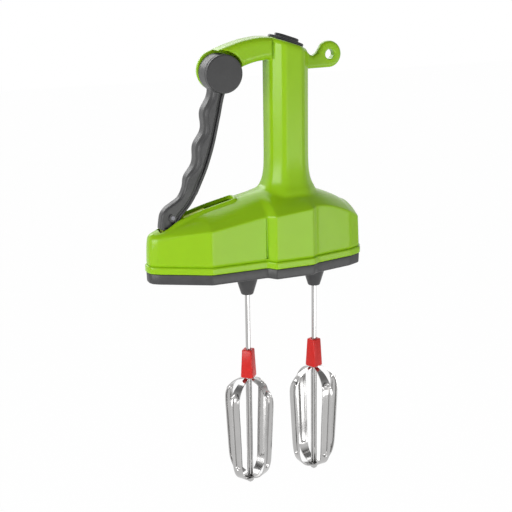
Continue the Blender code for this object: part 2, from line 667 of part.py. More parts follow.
def lever_section(fingers, palm, half, groove, soft):
    """One section of the lever between its two edges, (x, z): flange, groove and round front."""
    length = math.dist(fingers, palm)
    rim = half - 0.4 * MM
    shape = [(0.0, half - 1.2 * MM), (0.6 * MM, rim), (2.1 * MM, rim), (2.4 * MM, half - groove),
             (3.5 * MM, half - groove), (3.8 * MM, half), (length - 2.9 * MM * soft, half),
             (length - 1.0 * MM * soft, half - 1.3 * MM * soft), (length, half - 3.6 * MM * soft)]
    loop_points = [(d, y) for d, y in shape] + [(d, -y) for d, y in reversed(shape)]
    way = (Vector(fingers) - Vector(palm)) / length
    return [Vector((palm[0] + way.x * d, y, palm[1] + way.y * d)) for d, y in loop_points]


def lever_rings():
    """Sections of the lever from the hub, down the scalloped grip, to the foot's sole."""
    path = smooth_path([(PIVOT_X + x, PIVOT_Z + z) for x, z in GRIP_LINE], 6)
    edges = []
    for i, (x, z) in enumerate(path):
        one = path[max(0, i - 1)]
        two = path[min(len(path) - 1, i + 1)]
        ahead = Vector((two[0] - one[0], two[1] - one[1])).normalized()
        wave = math.cos(math.tau * (z - PIVOT_Z + FINGER_TOP) / FINGER_PITCH)
        fade = 1 - eased(math.dist((x, z), CENTRE), FINGER_FADE_R, TAPER_END_R)
        left = GRIP_LEFT + FINGER_DEPTH * wave * fade
        edges.append(((x + ahead.y * left, z - ahead.x * left),
                      (x - ahead.y * GRIP_RIGHT, z + ahead.x * GRIP_RIGHT)))
    for (rise, angle), (palm_rise, palm_angle) in zip(FOOT_FINGERS, FOOT_PALM):
        edges.append((below_pivot(FOOT_R - rise, angle), below_pivot(FOOT_R - palm_rise, palm_angle)))
    rings = []
    for fingers, palm in edges:
        narrow = eased(math.dist(fingers, CENTRE), TAPER_R, TAPER_END_R)
        half = GRIP_HALF + (FOOT_HALF - GRIP_HALF) * narrow
        groove = GRIP_GROOVE + (FOOT_GROOVE - GRIP_GROOVE) * narrow
        rings.append(lever_section(fingers, palm, half, groove, 1 - 0.55 * narrow))
    return rings


def lever():
    """Squeeze lever: hub, scalloped grip and the foot that carries the rack."""
    whole = make("lever", loft(lever_rings()), DARK)
    joined(whole, along_y(stacked([(HUB_R - 0.6 * MM, HUB_FRONT), (HUB_R, HUB_FRONT + 0.6 * MM),
                                   (HUB_R, HUB_BACK - 0.6 * MM), (HUB_R - 0.6 * MM, HUB_BACK)], count=32)))
    deep = HUB_BACK - 8.2 * MM
    well = turned([(SPRING_R - SPRING_ROOM, deep), (SPRING_R + SPRING_ROOM, deep),
                   (SPRING_R + SPRING_ROOM, HUB_BACK + 2 * MM), (SPRING_R - SPRING_ROOM, HUB_BACK + 2 * MM)],
                  count=28)
    fork = sector(RACK_IN - GAP, FOOT_R + 3 * MM, RACK_TAIL - GAP / RACK_IN, FORK_END)
    cut(whole, peg(PLATE_R + PLATE_RISE + GAP, HUB_BACK, HUB_BACK + 9 * MM, count=40), along_y(well),
        peg(BOLT_R + GAP, HUB_FRONT - 3 * MM, HUB_BACK + 3 * MM),
        peg(CAP_PLUG_R + GAP, HUB_FRONT - 3 * MM, HUB_FRONT + CAP_PLUG_DEPTH, count=24),
        prism_y(fork, -RACK_HALF - GAP, RACK_HALF + GAP))
    for place in rack_pins():
        cut(whole, peg(PIN_R + GAP, -9 * MM, 9 * MM, place, 14))
    return whole


def rack_pins():
    """Where the two pins hold the rack in the lever's foot."""
    return [below_pivot(RACK_IN + rise, angle) for rise, angle in PINS]


def sector(inner, outer, start, end):
    """Outline of a ring sector below the pivot; angles are from straight down, positive to +X."""
    angles = [start + (end - start) * i / 9 for i in range(10)]
    return [below_pivot(outer, a) for a in angles] + [below_pivot(inner, a) for a in reversed(angles)]


def rack_back(angle):
    """Radius of the rack's upper edge; its tongue follows the roof's ridge."""
    radius = RACK_IN
    if TONGUE_START < angle < TONGUE_END:
        for _ in range(8):
            ridge = curve_through(ROOF_SPINE, below_pivot(radius, angle)[0])
            radius = (PIVOT_Z - ridge + TONGUE_DROP) / math.cos(angle)
    return radius


def rack():
    """Curved rack under the foot, with its teeth on the +Y side."""
    pitch = math.pi * MODULE / ((RACK_TOOTH_IN + RACK_OUT) / 2)
    root = pitch * ROOT_SHARE
    tip = pitch * TIP_SHARE
    first = math.ceil((RACK_TAIL + root) / pitch - 0.5)
    last = math.floor((RACK_HEAD - root) / pitch - 0.5)
    angles = [RACK_TAIL]
    sides = [RACK_HALF]
    for k in range(first, last + 1):
        a = (k + 0.5) * pitch
        angles += [a - root, a - tip, a + tip, a + root]
        sides += [RACK_HALF, RACK_PITCH_Y + ADDENDUM, RACK_PITCH_Y + ADDENDUM, RACK_HALF]
    angles.append(RACK_HEAD)
    sides.append(RACK_HALF)
    hair = math.radians(0.03)
    steps = [TONGUE_START - hair, TONGUE_START + hair, TONGUE_END - hair, TONGUE_END + hair]
    rings = []
    for a in sorted(angles + steps):
        y = float(numpy.interp(a, angles, sides))
        section = [(rack_back(a), -RACK_HALF), (rack_back(a), RACK_HALF), (RACK_TOOTH_IN, RACK_HALF),
                   (RACK_TOOTH_IN + GAP, y), (RACK_OUT, y), (RACK_OUT, -RACK_HALF)]
        ring = []
        for radius, side in section:
            x, z = below_pivot(radius, a)
            ring.append(Vector((x, side, z)))
        rings.append(ring)
    whole = make("rack", loft(rings), LIME)
    for number, place in enumerate(rack_pins(), 1):
        cut(whole, peg(PIN_R + GAP, -9 * MM, 9 * MM, place, 14))
        make(f"rack_pin_{number}", peg(PIN_R, -FOOT_HALF, FOOT_HALF, place, 14), STEEL)


def gear_outline(teeth, phase, centre):
    """A spur gear's outline with straight-sided stub teeth."""
    pitch_radius = MODULE * teeth / 2
    root = pitch_radius - DEDENDUM
    tip = pitch_radius + ADDENDUM
    at_root = math.pi * MODULE * ROOT_SHARE / root
    at_tip = math.pi * MODULE * TIP_SHARE / tip
    points = []
    for k in range(teeth):
        a = phase + k * math.tau / teeth
        for r, turn in ((root, -at_root), (tip, -at_tip), (tip, at_tip), (root, at_root)):
            points.append((centre[0] + r * math.cos(a + turn), centre[1] + r * math.sin(a + turn)))
    return points


def gear(name, teeth, phase, centre, bore_r):
    """One nylon gear with its bore."""
    wheel = make(name, prism_z(gear_outline(teeth, phase, centre), GEAR_Z, GEAR_TOP), NYLON)
    return cut(wheel, post(bore_r + GAP, 0.0, 2 * COLUMN_FOOT, centre))


def mating_phase(phase, teeth, centre, other_teeth, other_centre):
    """Phase that puts the other gear's gap on this gear's tooth."""
    way = math.atan2(other_centre[1] - centre[1], other_centre[0] - centre[0])
    lead = (way - phase) * teeth / math.tau
    return way + math.pi - math.tau / other_teeth * (0.5 - lead)


def gears():
    """The compound gear, the idler and the two beater gears, all in mesh."""
    left = (BEATER_LEFT_X, 0.0)
    right = (BEATER_RIGHT_X, 0.0)
    drive = gear_outline(DRIVE_TEETH, 0.0, COMPOUND_PLACE)
    pinion = gear_outline(PINION_TEETH, -math.pi / 2, COMPOUND_PLACE)
    compound = make("compound_gear", prism_z(drive, GEAR_Z, GEAR_TOP), NYLON)
    joined(compound, prism_z(pinion, GEAR_TOP - 1 * MM, PINION_TOP))
    cut(compound, post(COMPOUND_AXLE_R + GAP, 0.0, 2 * COLUMN_FOOT, COMPOUND_PLACE))
    left_phase = mating_phase(0.0, DRIVE_TEETH, COMPOUND_PLACE, BEATER_TEETH, left)
    idler_phase = mating_phase(left_phase, BEATER_TEETH, left, IDLER_TEETH, IDLER_PLACE)
    right_phase = mating_phase(idler_phase, IDLER_TEETH, IDLER_PLACE, BEATER_TEETH, right)
    gear("beater_gear_left", BEATER_TEETH, left_phase, left, ROD_R)
    gear("beater_gear_right", BEATER_TEETH, right_phase, right, ROD_R)
    gear("idler_gear", IDLER_TEETH, idler_phase, IDLER_PLACE, IDLER_AXLE_R)


def axles():
    """Fixed axles of the compound gear and the idler, with their clips."""
    for name, place, radius, seat in (("compound", COMPOUND_PLACE, COMPOUND_AXLE_R, PINION_TOP),
                                      ("idler", IDLER_PLACE, IDLER_AXLE_R, GEAR_TOP)):
        end = seat + GAP + CLIP + 1.0 * MM
        profile = [(radius, AXLE_FOOT), (radius, end - 0.3 * MM), (radius - 0.3 * MM, end)]
        make(f"{name}_axle", stacked(profile, place, 16), STEEL)
        clip_ring(f"{name}_clip", place, radius, seat + GAP)


def clip_ring(name, place, radius, low):
    """A flat retaining clip round an axle, open at one side."""
    outer = arc(place, radius + 1.5 * MM, math.radians(-140), math.radians(140), 14)
    inner = arc(place, radius + 0.2 * MM, math.radians(140), math.radians(-140), 12)
    make(name, prism_z(outer + inner, low, low + CLIP), STEEL)


def hoop_path(lift):
    """Half of a beater hoop as (radius, z), from the collar to the middle of the bottom."""
    low = CAGE_END + lift
    neck = [(NECK_R, POCKET_TOP - 1.2 * MM), (NECK_R, (POCKET_TOP + COLLAR_END) / 2),
            (NECK_R, COLLAR_END + 0.2 * MM)]
    shoulder = [(r * MM, z * MM) for r, z in (
        (3.5, -80.8), (5.6, -81.4), (9.4, -82.0), (13.6, -84.2), (16.8, -88.4), (18.7, -93.6))]
    flank = [(CAGE_R, -99.0 * MM), (CAGE_R - 0.5 * MM, -112.0 * MM), (CAGE_R - 1.4 * MM, -130.0 * MM),
             (CAGE_R - 2.5 * MM, -143.0 * MM)]
    turn = [(15.0 * MM, low + 8.4 * MM), (12.2 * MM, low + 4.0 * MM), (8.4 * MM, low + 1.3 * MM),
            (4.6 * MM, low + 0.05 * MM), (0.0, low)]
    return neck + shoulder + flank + turn


def hoop(name, lift, place, phase):
    """One pressed strip bent down one side of the cage, across the bottom and up the other."""
    half = hoop_path(lift)
    path = half + [(-r, z) for r, z in reversed(half[:-1])]
    rings = []
    for i, (r, z) in enumerate(path):
        one = path[max(0, i - 1)]
        two = path[min(len(path) - 1, i + 1)]
        ahead = Vector((two[0] - one[0], 0, two[1] - one[1])).normalized()
        out = Vector((-ahead.z, 0, ahead.x))
        width = curve_through(HOOP_WIDTH, -z)
        deep = max(0.0, curve_through(HOOP_TROUGH, -z))
        side = [(1.0, 0.0), (0.7, 0.0), (0.4, deep)]
        shape = [(-w, d) for w, d in side] + [(w, d) for w, d in reversed(side)]
        outer = [Vector((r, w * width, z)) - out * d for w, d in shape]
        rings.append(outer + [point - out * BLADE for point in reversed(outer)])
    bm = loft(rings)
    turn = Matrix.Translation((*place, 0)) @ Matrix.Rotation(phase, 4, "Z")
    bmesh.ops.transform(bm, matrix=turn, verts=bm.verts[:])
    return cut(make(name, bm, STEEL), post(ROD_TIP_R + GAP, CAGE_END - 3 * MM, CAGE_END + 6 * MM, place, 14))


def collar(side, place, phase):
    """Red square collar that grips the hoops."""
    rings = []
    for half, z, corner_r in ((COLLAR_HALF_TOP - 0.6 * MM, COLLAR_TOP, 1.0 * MM),
                              (COLLAR_HALF_TOP, COLLAR_TOP - 0.7 * MM, 1.1 * MM),
                              (COLLAR_HALF_END, COLLAR_END + 0.8 * MM, 1.4 * MM),
                              (COLLAR_HALF_END - 0.5 * MM, COLLAR_END, 1.3 * MM)):
        ring = []
        for k in range(4):
            turn = Matrix.Rotation(k * math.pi / 2 + phase + COLLAR_TURN, 3, "Z")
            for x, y in arc((half - corner_r, half - corner_r), corner_r, 0.0, math.pi / 2, 4):
                ring.append(turn @ Vector((x, y, 0)) + Vector((*place, z)))
        rings.append(ring)
    bore = stacked([(POCKET_R, COLLAR_END - 2 * MM), (POCKET_R, POCKET_TOP), (ROD_R + GAP, POCKET_TOP),
                    (ROD_R + GAP, COLLAR_TOP + 2 * MM)], place)
    return cut(make(f"collar_{side}", loft(rings), RED), bore)


def beater(side, x, phase):
    """Rod, bush, clip, collar, two crossed hoops and the tip nut of one beater."""
    place = (x, 0.0)
    shoulder = CAGE_END + 2 * BLADE + 3 * GAP
    stem = COLLAR_END - STEM_DROP
    top = CAGE_END - GAP
    end = top - TIP_NUT - 0.7 * MM
    rod = [(ROD_TIP_R - 0.5 * MM, end), (ROD_TIP_R, end + 0.6 * MM), (ROD_TIP_R, shoulder),
           (STEM_R, shoulder), (STEM_R, stem), (ROD_R, stem),
           (ROD_R, ROD_TOP - 0.4 * MM), (ROD_R - 0.4 * MM, ROD_TOP)]
    make(f"beater_rod_{side}", stacked(rod, place, 16), STEEL)
    clip_ring(f"beater_clip_{side}", place, ROD_R, GEAR_TOP + GAP)
    seat = BUSH_SEAT + GAP
    low = BOSS_END + 0.4 * MM
    bush = [(ROD_R + GAP, low), (BUSH_R, low), (BUSH_R, seat), (BUSH_R + 1.8 * MM, seat),
            (BUSH_R + 1.8 * MM, seat + BUSH_FLANGE), (ROD_R + GAP, seat + BUSH_FLANGE)]
    make(f"bush_{side}", turned(bush, place, 20), BRASS)
    collar(side, place, phase)
    hoop(f"hoop_outer_{side}", 0.0, place, phase)
    hoop(f"hoop_inner_{side}", BLADE + GAP, place, phase + math.pi / 2)
    nut = [(ROD_TIP_R + GAP, top), (TIP_NUT_R, top), (TIP_NUT_R, top - TIP_NUT / 2),
           (TIP_NUT_R - 0.6 * MM, top - TIP_NUT), (ROD_TIP_R + GAP, top - TIP_NUT)]
    make(f"tip_nut_{side}", turned(nut, place, 12), STEEL)


def hang(name, place, pieces):
    """Parent moving pieces to an empty on their joint's axis."""
    axis = bpy.data.objects.new(name, None)
    bpy.context.scene.collection.objects.link(axis)
    axis.location = place
    for piece in pieces:
        thing = bpy.data.objects[piece]
        thing.parent = axis
        thing.matrix_parent_inverse = Matrix.Translation(place).inverted()


def build():
    """Make every piece and hang the moving ones on their axes."""
    for thing in list(bpy.data.objects):
        bpy.data.objects.remove(thing)
    upper_housing()
    top_cap()
    bottom_cover()
    cover_screws()
    pivot_parts()
    return_spring()
    lever()
    rack()
    gears()
    axles()
    beater("left", BEATER_LEFT_X, LEFT_PHASE)
    beater("right", BEATER_RIGHT_X, RIGHT_PHASE)
    hang("lever_axis", (PIVOT_X, 0.0, PIVOT_Z), ("lever", "pivot_cap", "rack", "rack_pin_1", "rack_pin_2"))
    hang("drive_axis", (*COMPOUND_PLACE, 0.0), ("compound_gear",))
    hang("idler_axis", (*IDLER_PLACE, 0.0), ("idler_gear",))
    for side, x in (("left", BEATER_LEFT_X), ("right", BEATER_RIGHT_X)):
        hang(f"beater_axis_{side}", (x, 0.0, 0.0),
             [f"{piece}_{side}" for piece in ("beater_rod", "beater_gear", "beater_clip", "collar",
                                              "hoop_outer", "hoop_inner", "tip_nut")])


build()
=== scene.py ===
"""Looks of the squeeze-lever hand blender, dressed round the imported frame.

Metres, in the frame of the part: +Z up, X along the gear body with the lever at -X,
and the front face towards -Y.
"""
import math

import bmesh
import bpy
from mathutils import Matrix, Vector

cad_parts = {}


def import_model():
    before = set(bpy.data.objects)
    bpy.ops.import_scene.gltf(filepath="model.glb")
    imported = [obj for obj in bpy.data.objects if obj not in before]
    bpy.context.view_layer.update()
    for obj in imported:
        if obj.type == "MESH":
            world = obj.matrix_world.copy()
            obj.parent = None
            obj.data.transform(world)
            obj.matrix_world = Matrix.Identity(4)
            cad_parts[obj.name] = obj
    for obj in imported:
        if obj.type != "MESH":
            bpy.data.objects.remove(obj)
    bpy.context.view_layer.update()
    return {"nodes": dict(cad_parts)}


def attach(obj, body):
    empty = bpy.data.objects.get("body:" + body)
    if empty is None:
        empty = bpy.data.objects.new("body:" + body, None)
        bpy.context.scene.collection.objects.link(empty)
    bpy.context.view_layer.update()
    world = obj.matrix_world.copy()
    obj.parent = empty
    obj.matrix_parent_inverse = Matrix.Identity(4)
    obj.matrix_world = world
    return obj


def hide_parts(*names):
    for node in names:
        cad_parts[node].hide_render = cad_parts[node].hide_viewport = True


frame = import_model()

MM = 0.001
GAP = 0.3 * MM                      # clearance between neighbouring pieces

# Gear body
NOSE_X = -102.5 * MM
SHOULDER_X = -65.6 * MM
BULGE_START = -26.0 * MM
BULGE_END = 10.3 * MM
BULGE_STEP = 4.3 * MM
RIGHT_X = 53.2 * MM
BODY_HALF = 26.2 * MM
BULGE_HALF = 32.1 * MM
WALL = 2.4 * MM
COVER_TOP = 7.0 * MM
COVER_PLATE = 2.5 * MM
COVER_LIP = 3.0 * MM
LIP_WALL = 1.6 * MM
BEAD_OUT = 0.9 * MM
BEAD_LOW = COVER_TOP + GAP
BEAD_TOP = 12.3 * MM
GROOVE_IN = 0.7 * MM
DRAFT = 0.8 * MM
ROOF_EDGE = [(x * MM, z * MM) for x, z in (
    (-102.5, 31.0), (-92, 32.4), (-65.6, 36.6), (-26, 42.8), (6, 46.2), (12, 47.2), (24, 45.0),
    (40, 38.6), (48, 33.6), (53.2, 29.0))]
ROOF_SPINE = [(x * MM, z * MM) for x, z in (
    (-97, 34.4), (-80, 41.2), (-60, 47.4), (-45, 51.0), (-30, 54.6), (-15, 57.4), (0, 58.2),
    (15, 55.8), (25, 52.4), (36, 47.6), (42, 44.0))]
SLOT_HALF = 5.2 * MM
SLOT_LEFT = -94.2 * MM
SLOT_RIGHT = -41.0 * MM
SLOT_LEFT_SOFT = 1.0 * MM
SLOT_RIGHT_SOFT = 2.2 * MM
SLOT_TOOL = (20 * MM, 60 * MM)      # height range that cuts through the roof
RIM_PROFILE = [(out * MM, rise * MM) for out, rise in (
    (-0.6, -2.2), (-0.6, 1.2), (-0.1, 1.6), (0.7, 1.7), (1.5, 1.4), (2.2, 0.6), (3.0, -0.5), (3.0, -2.2))]
RIM_SUNK = 0.3 * MM                 # where the rim has faded out it lies this far below the roof
RIM_FADE = (-91 * MM, -80 * MM)
SEAM_R = 1.1 * MM
SEAM_ARM_X = -12.8 * MM
SKIN_VOXEL = 0.6 * MM
LEVER_VOXEL = 0.35 * MM
PLAN_CORNER = 1.3 * MM
PLAN_STEP = 2.0 * MM
PLAN_REACH = 2.1 * MM               # a little over the step, so that each place finds a point

# Where the housing's skin is relaxed further; each range fades between its two ends
FOOT_RELAX_R = (25 * MM, 33 * MM)
FOOT_RELAX_LOW = (47 * MM, 50 * MM)
FOOT_RELAX_HIGH = (66 * MM, 80 * MM)
NOSE_RELAX_X = (84 * MM, 95 * MM)
NOSE_RELAX_LOW = (25 * MM, 28 * MM)
NOSE_RELAX_HIGH = (44 * MM, 48 * MM)
RELAX_ROUNDS = 90

# Hand column
COLUMN_HALF = 14.3 * MM
COLUMN_TOP = 154.8 * MM
TOP_TILT = math.radians(18.3)
FLARE = [(z * MM, share) for z, share in (
    (40, 1.34), (55.4, 1.34), (58.6, 1.22), (62.4, 1.12), (68.0, 1.05), (76.0, 1.01), (90.0, 1.0))]
COLUMN_LEVEL_END = 128 * MM         # level rings up to here, tilted ones at the top
COLUMN_STEP = 1.5 * MM
TOP_ROUND = 4.5 * MM
TOP_ROUND_IN = 0.55                 # the top's round goes in by this share of its height
CAP_LENGTH = 25.6 * MM
CAP_WIDTH = 17.0 * MM
CAP_LOW = 2.2 * MM
CAP_HIGH = 4.35 * MM

# Pivot, arm and hanging loop
PIVOT_X = -48.0 * MM
PIVOT_Z = 137.0 * MM
CENTRE = (PIVOT_X, PIVOT_Z)
HUB_R = 12.8 * MM
HUB_FRONT = -8.0 * MM
HUB_BACK = 5.0 * MM
ARM_FRONT = -9.0 * MM
ARM_BACK = 8.6 * MM
RUN_GAP = 0.5 * MM
PLATE_R = 13.4 * MM
PLATE = (PIVOT_X, PIVOT_Z + 1.2 * MM)
BOLT_R = 2.5 * MM
SPRING_R = 7.4 * MM
CAP_PLUG_R = 6.0 * MM
LOOP_X = 32.2 * MM
LOOP_Z = 145.6 * MM
LOOP_R = 9.0 * MM
LOOP_HOLE_R = 3.2 * MM
LOOP_HALF = 2.8 * MM

# Lever; the grip's middle line is given from the pivot, and the foot's edges as
# (height above its sole, angle in degrees from straight down)
GRIP_LINE = [(x * MM, z * MM) for x, z in (
    (-1.0, -4.0), (-4.6, -15.5), (-7.2, -27.0), (-12.6, -48.0), (-20.6, -70.0), (-23.2, -76.6))]
GRIP_HALF = 7.6 * MM
GRIP_LEFT = 5.1 * MM
GRIP_RIGHT = 5.2 * MM
TAPER_R = 60.0 * MM
TAPER_END_R = 84.0 * MM
GRIP_GROOVE = 2.3 * MM
FOOT_GROOVE = 1.4 * MM
FINGER_PITCH = 22.5 * MM
FINGER_DEPTH = 1.4 * MM
FINGER_TOP = 26.0 * MM
FINGER_FADE_R = 70.0 * MM
FOOT_HALF = 4.3 * MM
FOOT_R = 110.4 * MM
RACK_IN = 96.0 * MM
RACK_HALF = 2.5 * MM
FORK = (math.radians(-23.4), math.radians(-10.0))
BOSS_PIN = (4.4 * MM, math.radians(-21.4))
FOOT_FINGERS = [(h * MM, math.radians(a)) for h, a in (
    (0.0, -24.4), (4.1, -25.1), (9.8, -25.8), (14.6, -25.1), (18.4, -23.6), (21.5, -22.1),
    (24.2, -21.1), (27.8, -20.6))]
FOOT_PALM = [(h * MM, math.radians(a)) for h, a in (
    (0.0, -16.7), (4.3, -17.8), (8.2, -18.3), (12.6, -17.7), (16.2, -16.7), (20.4, -15.4),
    (23.9, -14.5), (27.7, -13.7))]

# Beaters
BEATER_X = {"left": -30.5 * MM, "right": 21.5 * MM}
BEATER_PHASE = {"left": math.radians(32.0), "right": math.radians(7.0)}
COLLAR_TURN = math.radians(15.0)
ROD_R = 1.75 * MM
STEM_R = 2.2 * MM
ROD_TIP_R = 1.3 * MM
ROD_TOP = 16.4 * MM
BUSH_R = 3.0 * MM
BOSS_TOP_R = 9.0 * MM
BOSS_END_R = 4.5 * MM
BOSS_END = -17.6 * MM
COLLAR_TOP = -58.8 * MM
COLLAR_END = -79.6 * MM
COLLAR_HALF_TOP = 3.7 * MM
COLLAR_HALF_END = 4.6 * MM
POCKET_R = 3.55 * MM
POCKET_TOP = -70.0 * MM
STEM_TOP = COLLAR_END - 1.2 * MM
BLADE = 0.8 * MM
CAGE_R = 18.4 * MM
CAGE_END = -158.6 * MM
NECK_R = 2.85 * MM
HOOP_WIDTH = [(z * MM, w * MM) for z, w in (
    (60, 1.5), (80, 1.5), (84, 2.5), (90, 3.4), (96, 4.1), (110, 4.3), (140, 4.1), (150, 3.6),
    (157, 3.1), (160, 3.1))]
CHANNEL_TOP = -90.0 * MM
CHANNEL_END = -145.5 * MM
CHANNEL_DEEP = 1.7 * MM
CHANNEL_LIP = 0.7 * MM
CHANNEL_SHARE = 0.62                # the trough's half width as a share of the blade's
CHANNEL_SIDE = 0.45                 # the share of it that slopes
LIP_AWAY = 1.25                     # the lip's crest and reach, in the trough's half widths
LIP_REACH = 0.3

# Camera, fitted to the photograph
CAMERA_TARGET = Vector((-23.43, 0.0, 8.99)) * MM
CAMERA_DISTANCE = 749.3 * MM
CAMERA_AZIMUTH = math.radians(-22.98)
CAMERA_ELEVATION = math.radians(15.51)
CAMERA_ROLL = math.radians(-0.84)
CAMERA_VIEW_ANGLE = math.radians(26.82)

# Light; the ceiling's dimming runs between two heights of the view direction
FILL = 0.36
CEILING = 0.25
CEILING_EDGE = (0.35, 0.75)
LAMP_AIM = (-0.02, 0.0, 0.03)
FLOOR_Z = -0.55
FLOOR_HALF = 6.0
FLOOR_THICK = 0.01
FLOOR_GLOW = 0.99                   # share of the floor that shows as plain white


# Materials

def node_group(material):
    """The node tree of a new material, and its shader."""
    material.use_nodes = True
    tree = material.node_tree
    return tree, tree.nodes["Principled BSDF"]


def add(tree, kind, settings=None, **inputs):
    """Add a node; links are given as inputs, and plain values are set."""
    node = tree.nodes.new(kind)
    for key, value in (settings or {}).items():
        setattr(node, key, value)
    for key, value in inputs.items():
        socket = node.inputs[key.replace("_", " ")]
        if isinstance(value, bpy.types.NodeSocket):
            tree.links.new(value, socket)
        else:
            socket.default_value = value
    return node


def finish_material(name, colour, roughness, metallic=0.0, mottle=0.04, mottle_scale=70.0,
                    grain=0.05, grain_scale=2200.0, stretch=(1.0, 1.0, 1.0), spread=0.05,
                    specular=0.5, subsurface=0.0):
    """A moulded or drawn surface: slight mottling, varied gloss and a fine grain."""
    made = bpy.data.materials.new(name)
    tree, shader = node_group(made)
    place = add(tree, "ShaderNodeTexCoord").outputs["Object"]
    cloud = add(tree, "ShaderNodeTexNoise", Vector=place, Scale=mottle_scale, Detail=3.0)
    dark = tuple(c * (1 - mottle) for c in colour)
    light = tuple(min(1.0, c * (1 + mottle)) for c in colour)
    tint = add(tree, "ShaderNodeValToRGB", Fac=cloud.outputs["Fac"])
    tint.color_ramp.elements[0].position = 0.35
    tint.color_ramp.elements[0].color = (*dark, 1.0)
    tint.color_ramp.elements[1].position = 0.65
    tint.color_ramp.elements[1].color = (*light, 1.0)
    tree.links.new(tint.outputs["Color"], shader.inputs["Base Color"])
    stretched = add(tree, "ShaderNodeMapping", Vector=place, Scale=stretch)
    fine = add(tree, "ShaderNodeTexNoise", Vector=stretched.outputs["Vector"], Scale=grain_scale, Detail=2.0)
    gloss = add(tree, "ShaderNodeMapRange", Value=fine.outputs["Fac"], From_Min=0.3, From_Max=0.7,
                To_Min=roughness - spread, To_Max=roughness + spread)
    tree.links.new(gloss.outputs["Result"], shader.inputs["Roughness"])
    bump = add(tree, "ShaderNodeBump", Height=fine.outputs["Fac"], Strength=grain, Distance=0.1 * MM)
    tree.links.new(bump.outputs["Normal"], shader.inputs["Normal"])
    shader.inputs["Metallic"].default_value = metallic
    shader.inputs["Specular IOR Level"].default_value = specular
    shader.inputs["Subsurface Weight"].default_value = subsurface
    shader.inputs["Subsurface Scale"].default_value = 1.5 * MM
    return made


GREEN = finish_material("lime_plastic", (0.305, 0.57, 0.008), 0.22, mottle=0.015, grain=0.04,
                        specular=0.25, subsurface=0.05)
DARK = finish_material("dark_grey_plastic", (0.054, 0.054, 0.055), 0.40, mottle=0.08, mottle_scale=160.0,
                       grain=0.2, grain_scale=1500.0, spread=0.06, specular=0.35)
DISC = finish_material("disc_plastic", (0.042, 0.042, 0.043), 0.38, mottle=0.06, mottle_scale=160.0,
                       grain=0.2, grain_scale=1500.0, spread=0.05, specular=0.3)
BLACK = finish_material("black_plastic", (0.016, 0.018, 0.018), 0.30, grain=0.1, specular=0.4)
RED = finish_material("red_plastic", (0.65, 0.022, 0.018), 0.3, mottle=0.03, grain=0.06, specular=0.25)
STEEL = finish_material("bright_steel", (0.47, 0.465, 0.46), 0.16, 1.0, mottle=0.03, grain=0.12,
                        grain_scale=2600.0, stretch=(1.0, 1.0, 0.04), spread=0.05)
FASTENER = finish_material("plated_steel", (0.50, 0.50, 0.51), 0.28, 1.0, mottle=0.05, grain=0.1)
BLUED = finish_material("blackened_steel", (0.10, 0.10, 0.11), 0.35, 1.0, mottle=0.05, grain=0.1)
BRASS = finish_material("turned_brass", (0.60, 0.45, 0.16), 0.3, 1.0, mottle=0.05, grain=0.1)
NYLON = finish_material("natural_nylon", (0.78, 0.76, 0.70), 0.45, mottle=0.03, grain=0.1, subsurface=0.1)
LIME = finish_material("lime_nylon", (0.38, 0.52, 0.004), 0.6, mottle=0.03, grain=0.1, specular=0.15)


# Shape tools

def piece(name, bm, material, body, nodes=(), sharp=38.0):
    """Make a named piece from a bmesh, ride it on its body and let it stand for CAD nodes."""
    bmesh.ops.recalc_face_normals(bm, faces=bm.faces[:])
    mesh = bpy.data.meshes.new(name)
    bm.to_mesh(mesh)
    bm.free()
    mesh.shade_smooth()
    if sharp:
        mesh.set_sharp_from_angle(angle=math.radians(sharp))
    thing = bpy.data.objects.new(name, mesh)
    bpy.context.scene.collection.objects.link(thing)
    if material:
        mesh.materials.append(material)
    if body:
        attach(thing, body)
    if nodes:
        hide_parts(*nodes)
    return thing


def applied(thing, sharp=None):
    """Turn an object's modifiers into its mesh."""
    bpy.context.view_layer.update()
    shaped = bpy.data.meshes.new_from_object(thing.evaluated_get(bpy.context.evaluated_depsgraph_get()))
    thing.modifiers.clear()
    thing.data = shaped
    shaped.shade_smooth()
    if sharp:
        shaped.set_sharp_from_angle(angle=math.radians(sharp))
    return thing


def combined(target, bm, operation, sharp=38.0):
    """Join, cut or keep the overlap of a closed shape and an object."""
    tool = piece("tool", bm, None, None)
    step = target.modifiers.new("step", "BOOLEAN")
    step.operation = operation
    step.object = tool
    step.solver = "MANIFOLD"
    applied(target, sharp)
    bpy.data.objects.remove(tool)
    return target


def fused(name, parts, voxel, rounds):
    """Melt overlapping closed shapes into one skin with soft edges."""
    whole = bmesh.new()
    for part in parts:
        bmesh.ops.recalc_face_normals(part, faces=part.faces[:])
        mesh = bpy.data.meshes.new("part")
        part.to_mesh(mesh)
        part.free()
        whole.from_mesh(mesh)
        bpy.data.meshes.remove(mesh)
    mesh = bpy.data.meshes.new(name)
    whole.to_mesh(mesh)
    whole.free()
    thing = bpy.data.objects.new(name, mesh)
    bpy.context.scene.collection.objects.link(thing)
    melt = thing.modifiers.new("melt", "REMESH")
    melt.mode = "VOXEL"
    melt.voxel_size = voxel
    soften = thing.modifiers.new("soften", "SMOOTH")
    soften.factor = 0.5
    soften.iterations = rounds
    return applied(thing)


def relaxed(thing, share, rounds):
    """Smooth a mesh further where share(place) is above nought."""
    group = thing.vertex_groups.new(name="relax")
    for vertex in thing.data.vertices:
        weight = share(vertex.co)
        if weight > 0:
            group.add((vertex.index,), weight, "REPLACE")
    soften = thing.modifiers.new("relax", "SMOOTH")
    soften.factor = 0.5
    soften.iterations = rounds
    soften.vertex_group = group.name
    return applied(thing)


def taken(thing):
    """Take an object's mesh as a bmesh and remove the object."""
    bm = bmesh.new()
    bm.from_mesh(thing.data)
    bpy.data.objects.remove(thing)
    return bm


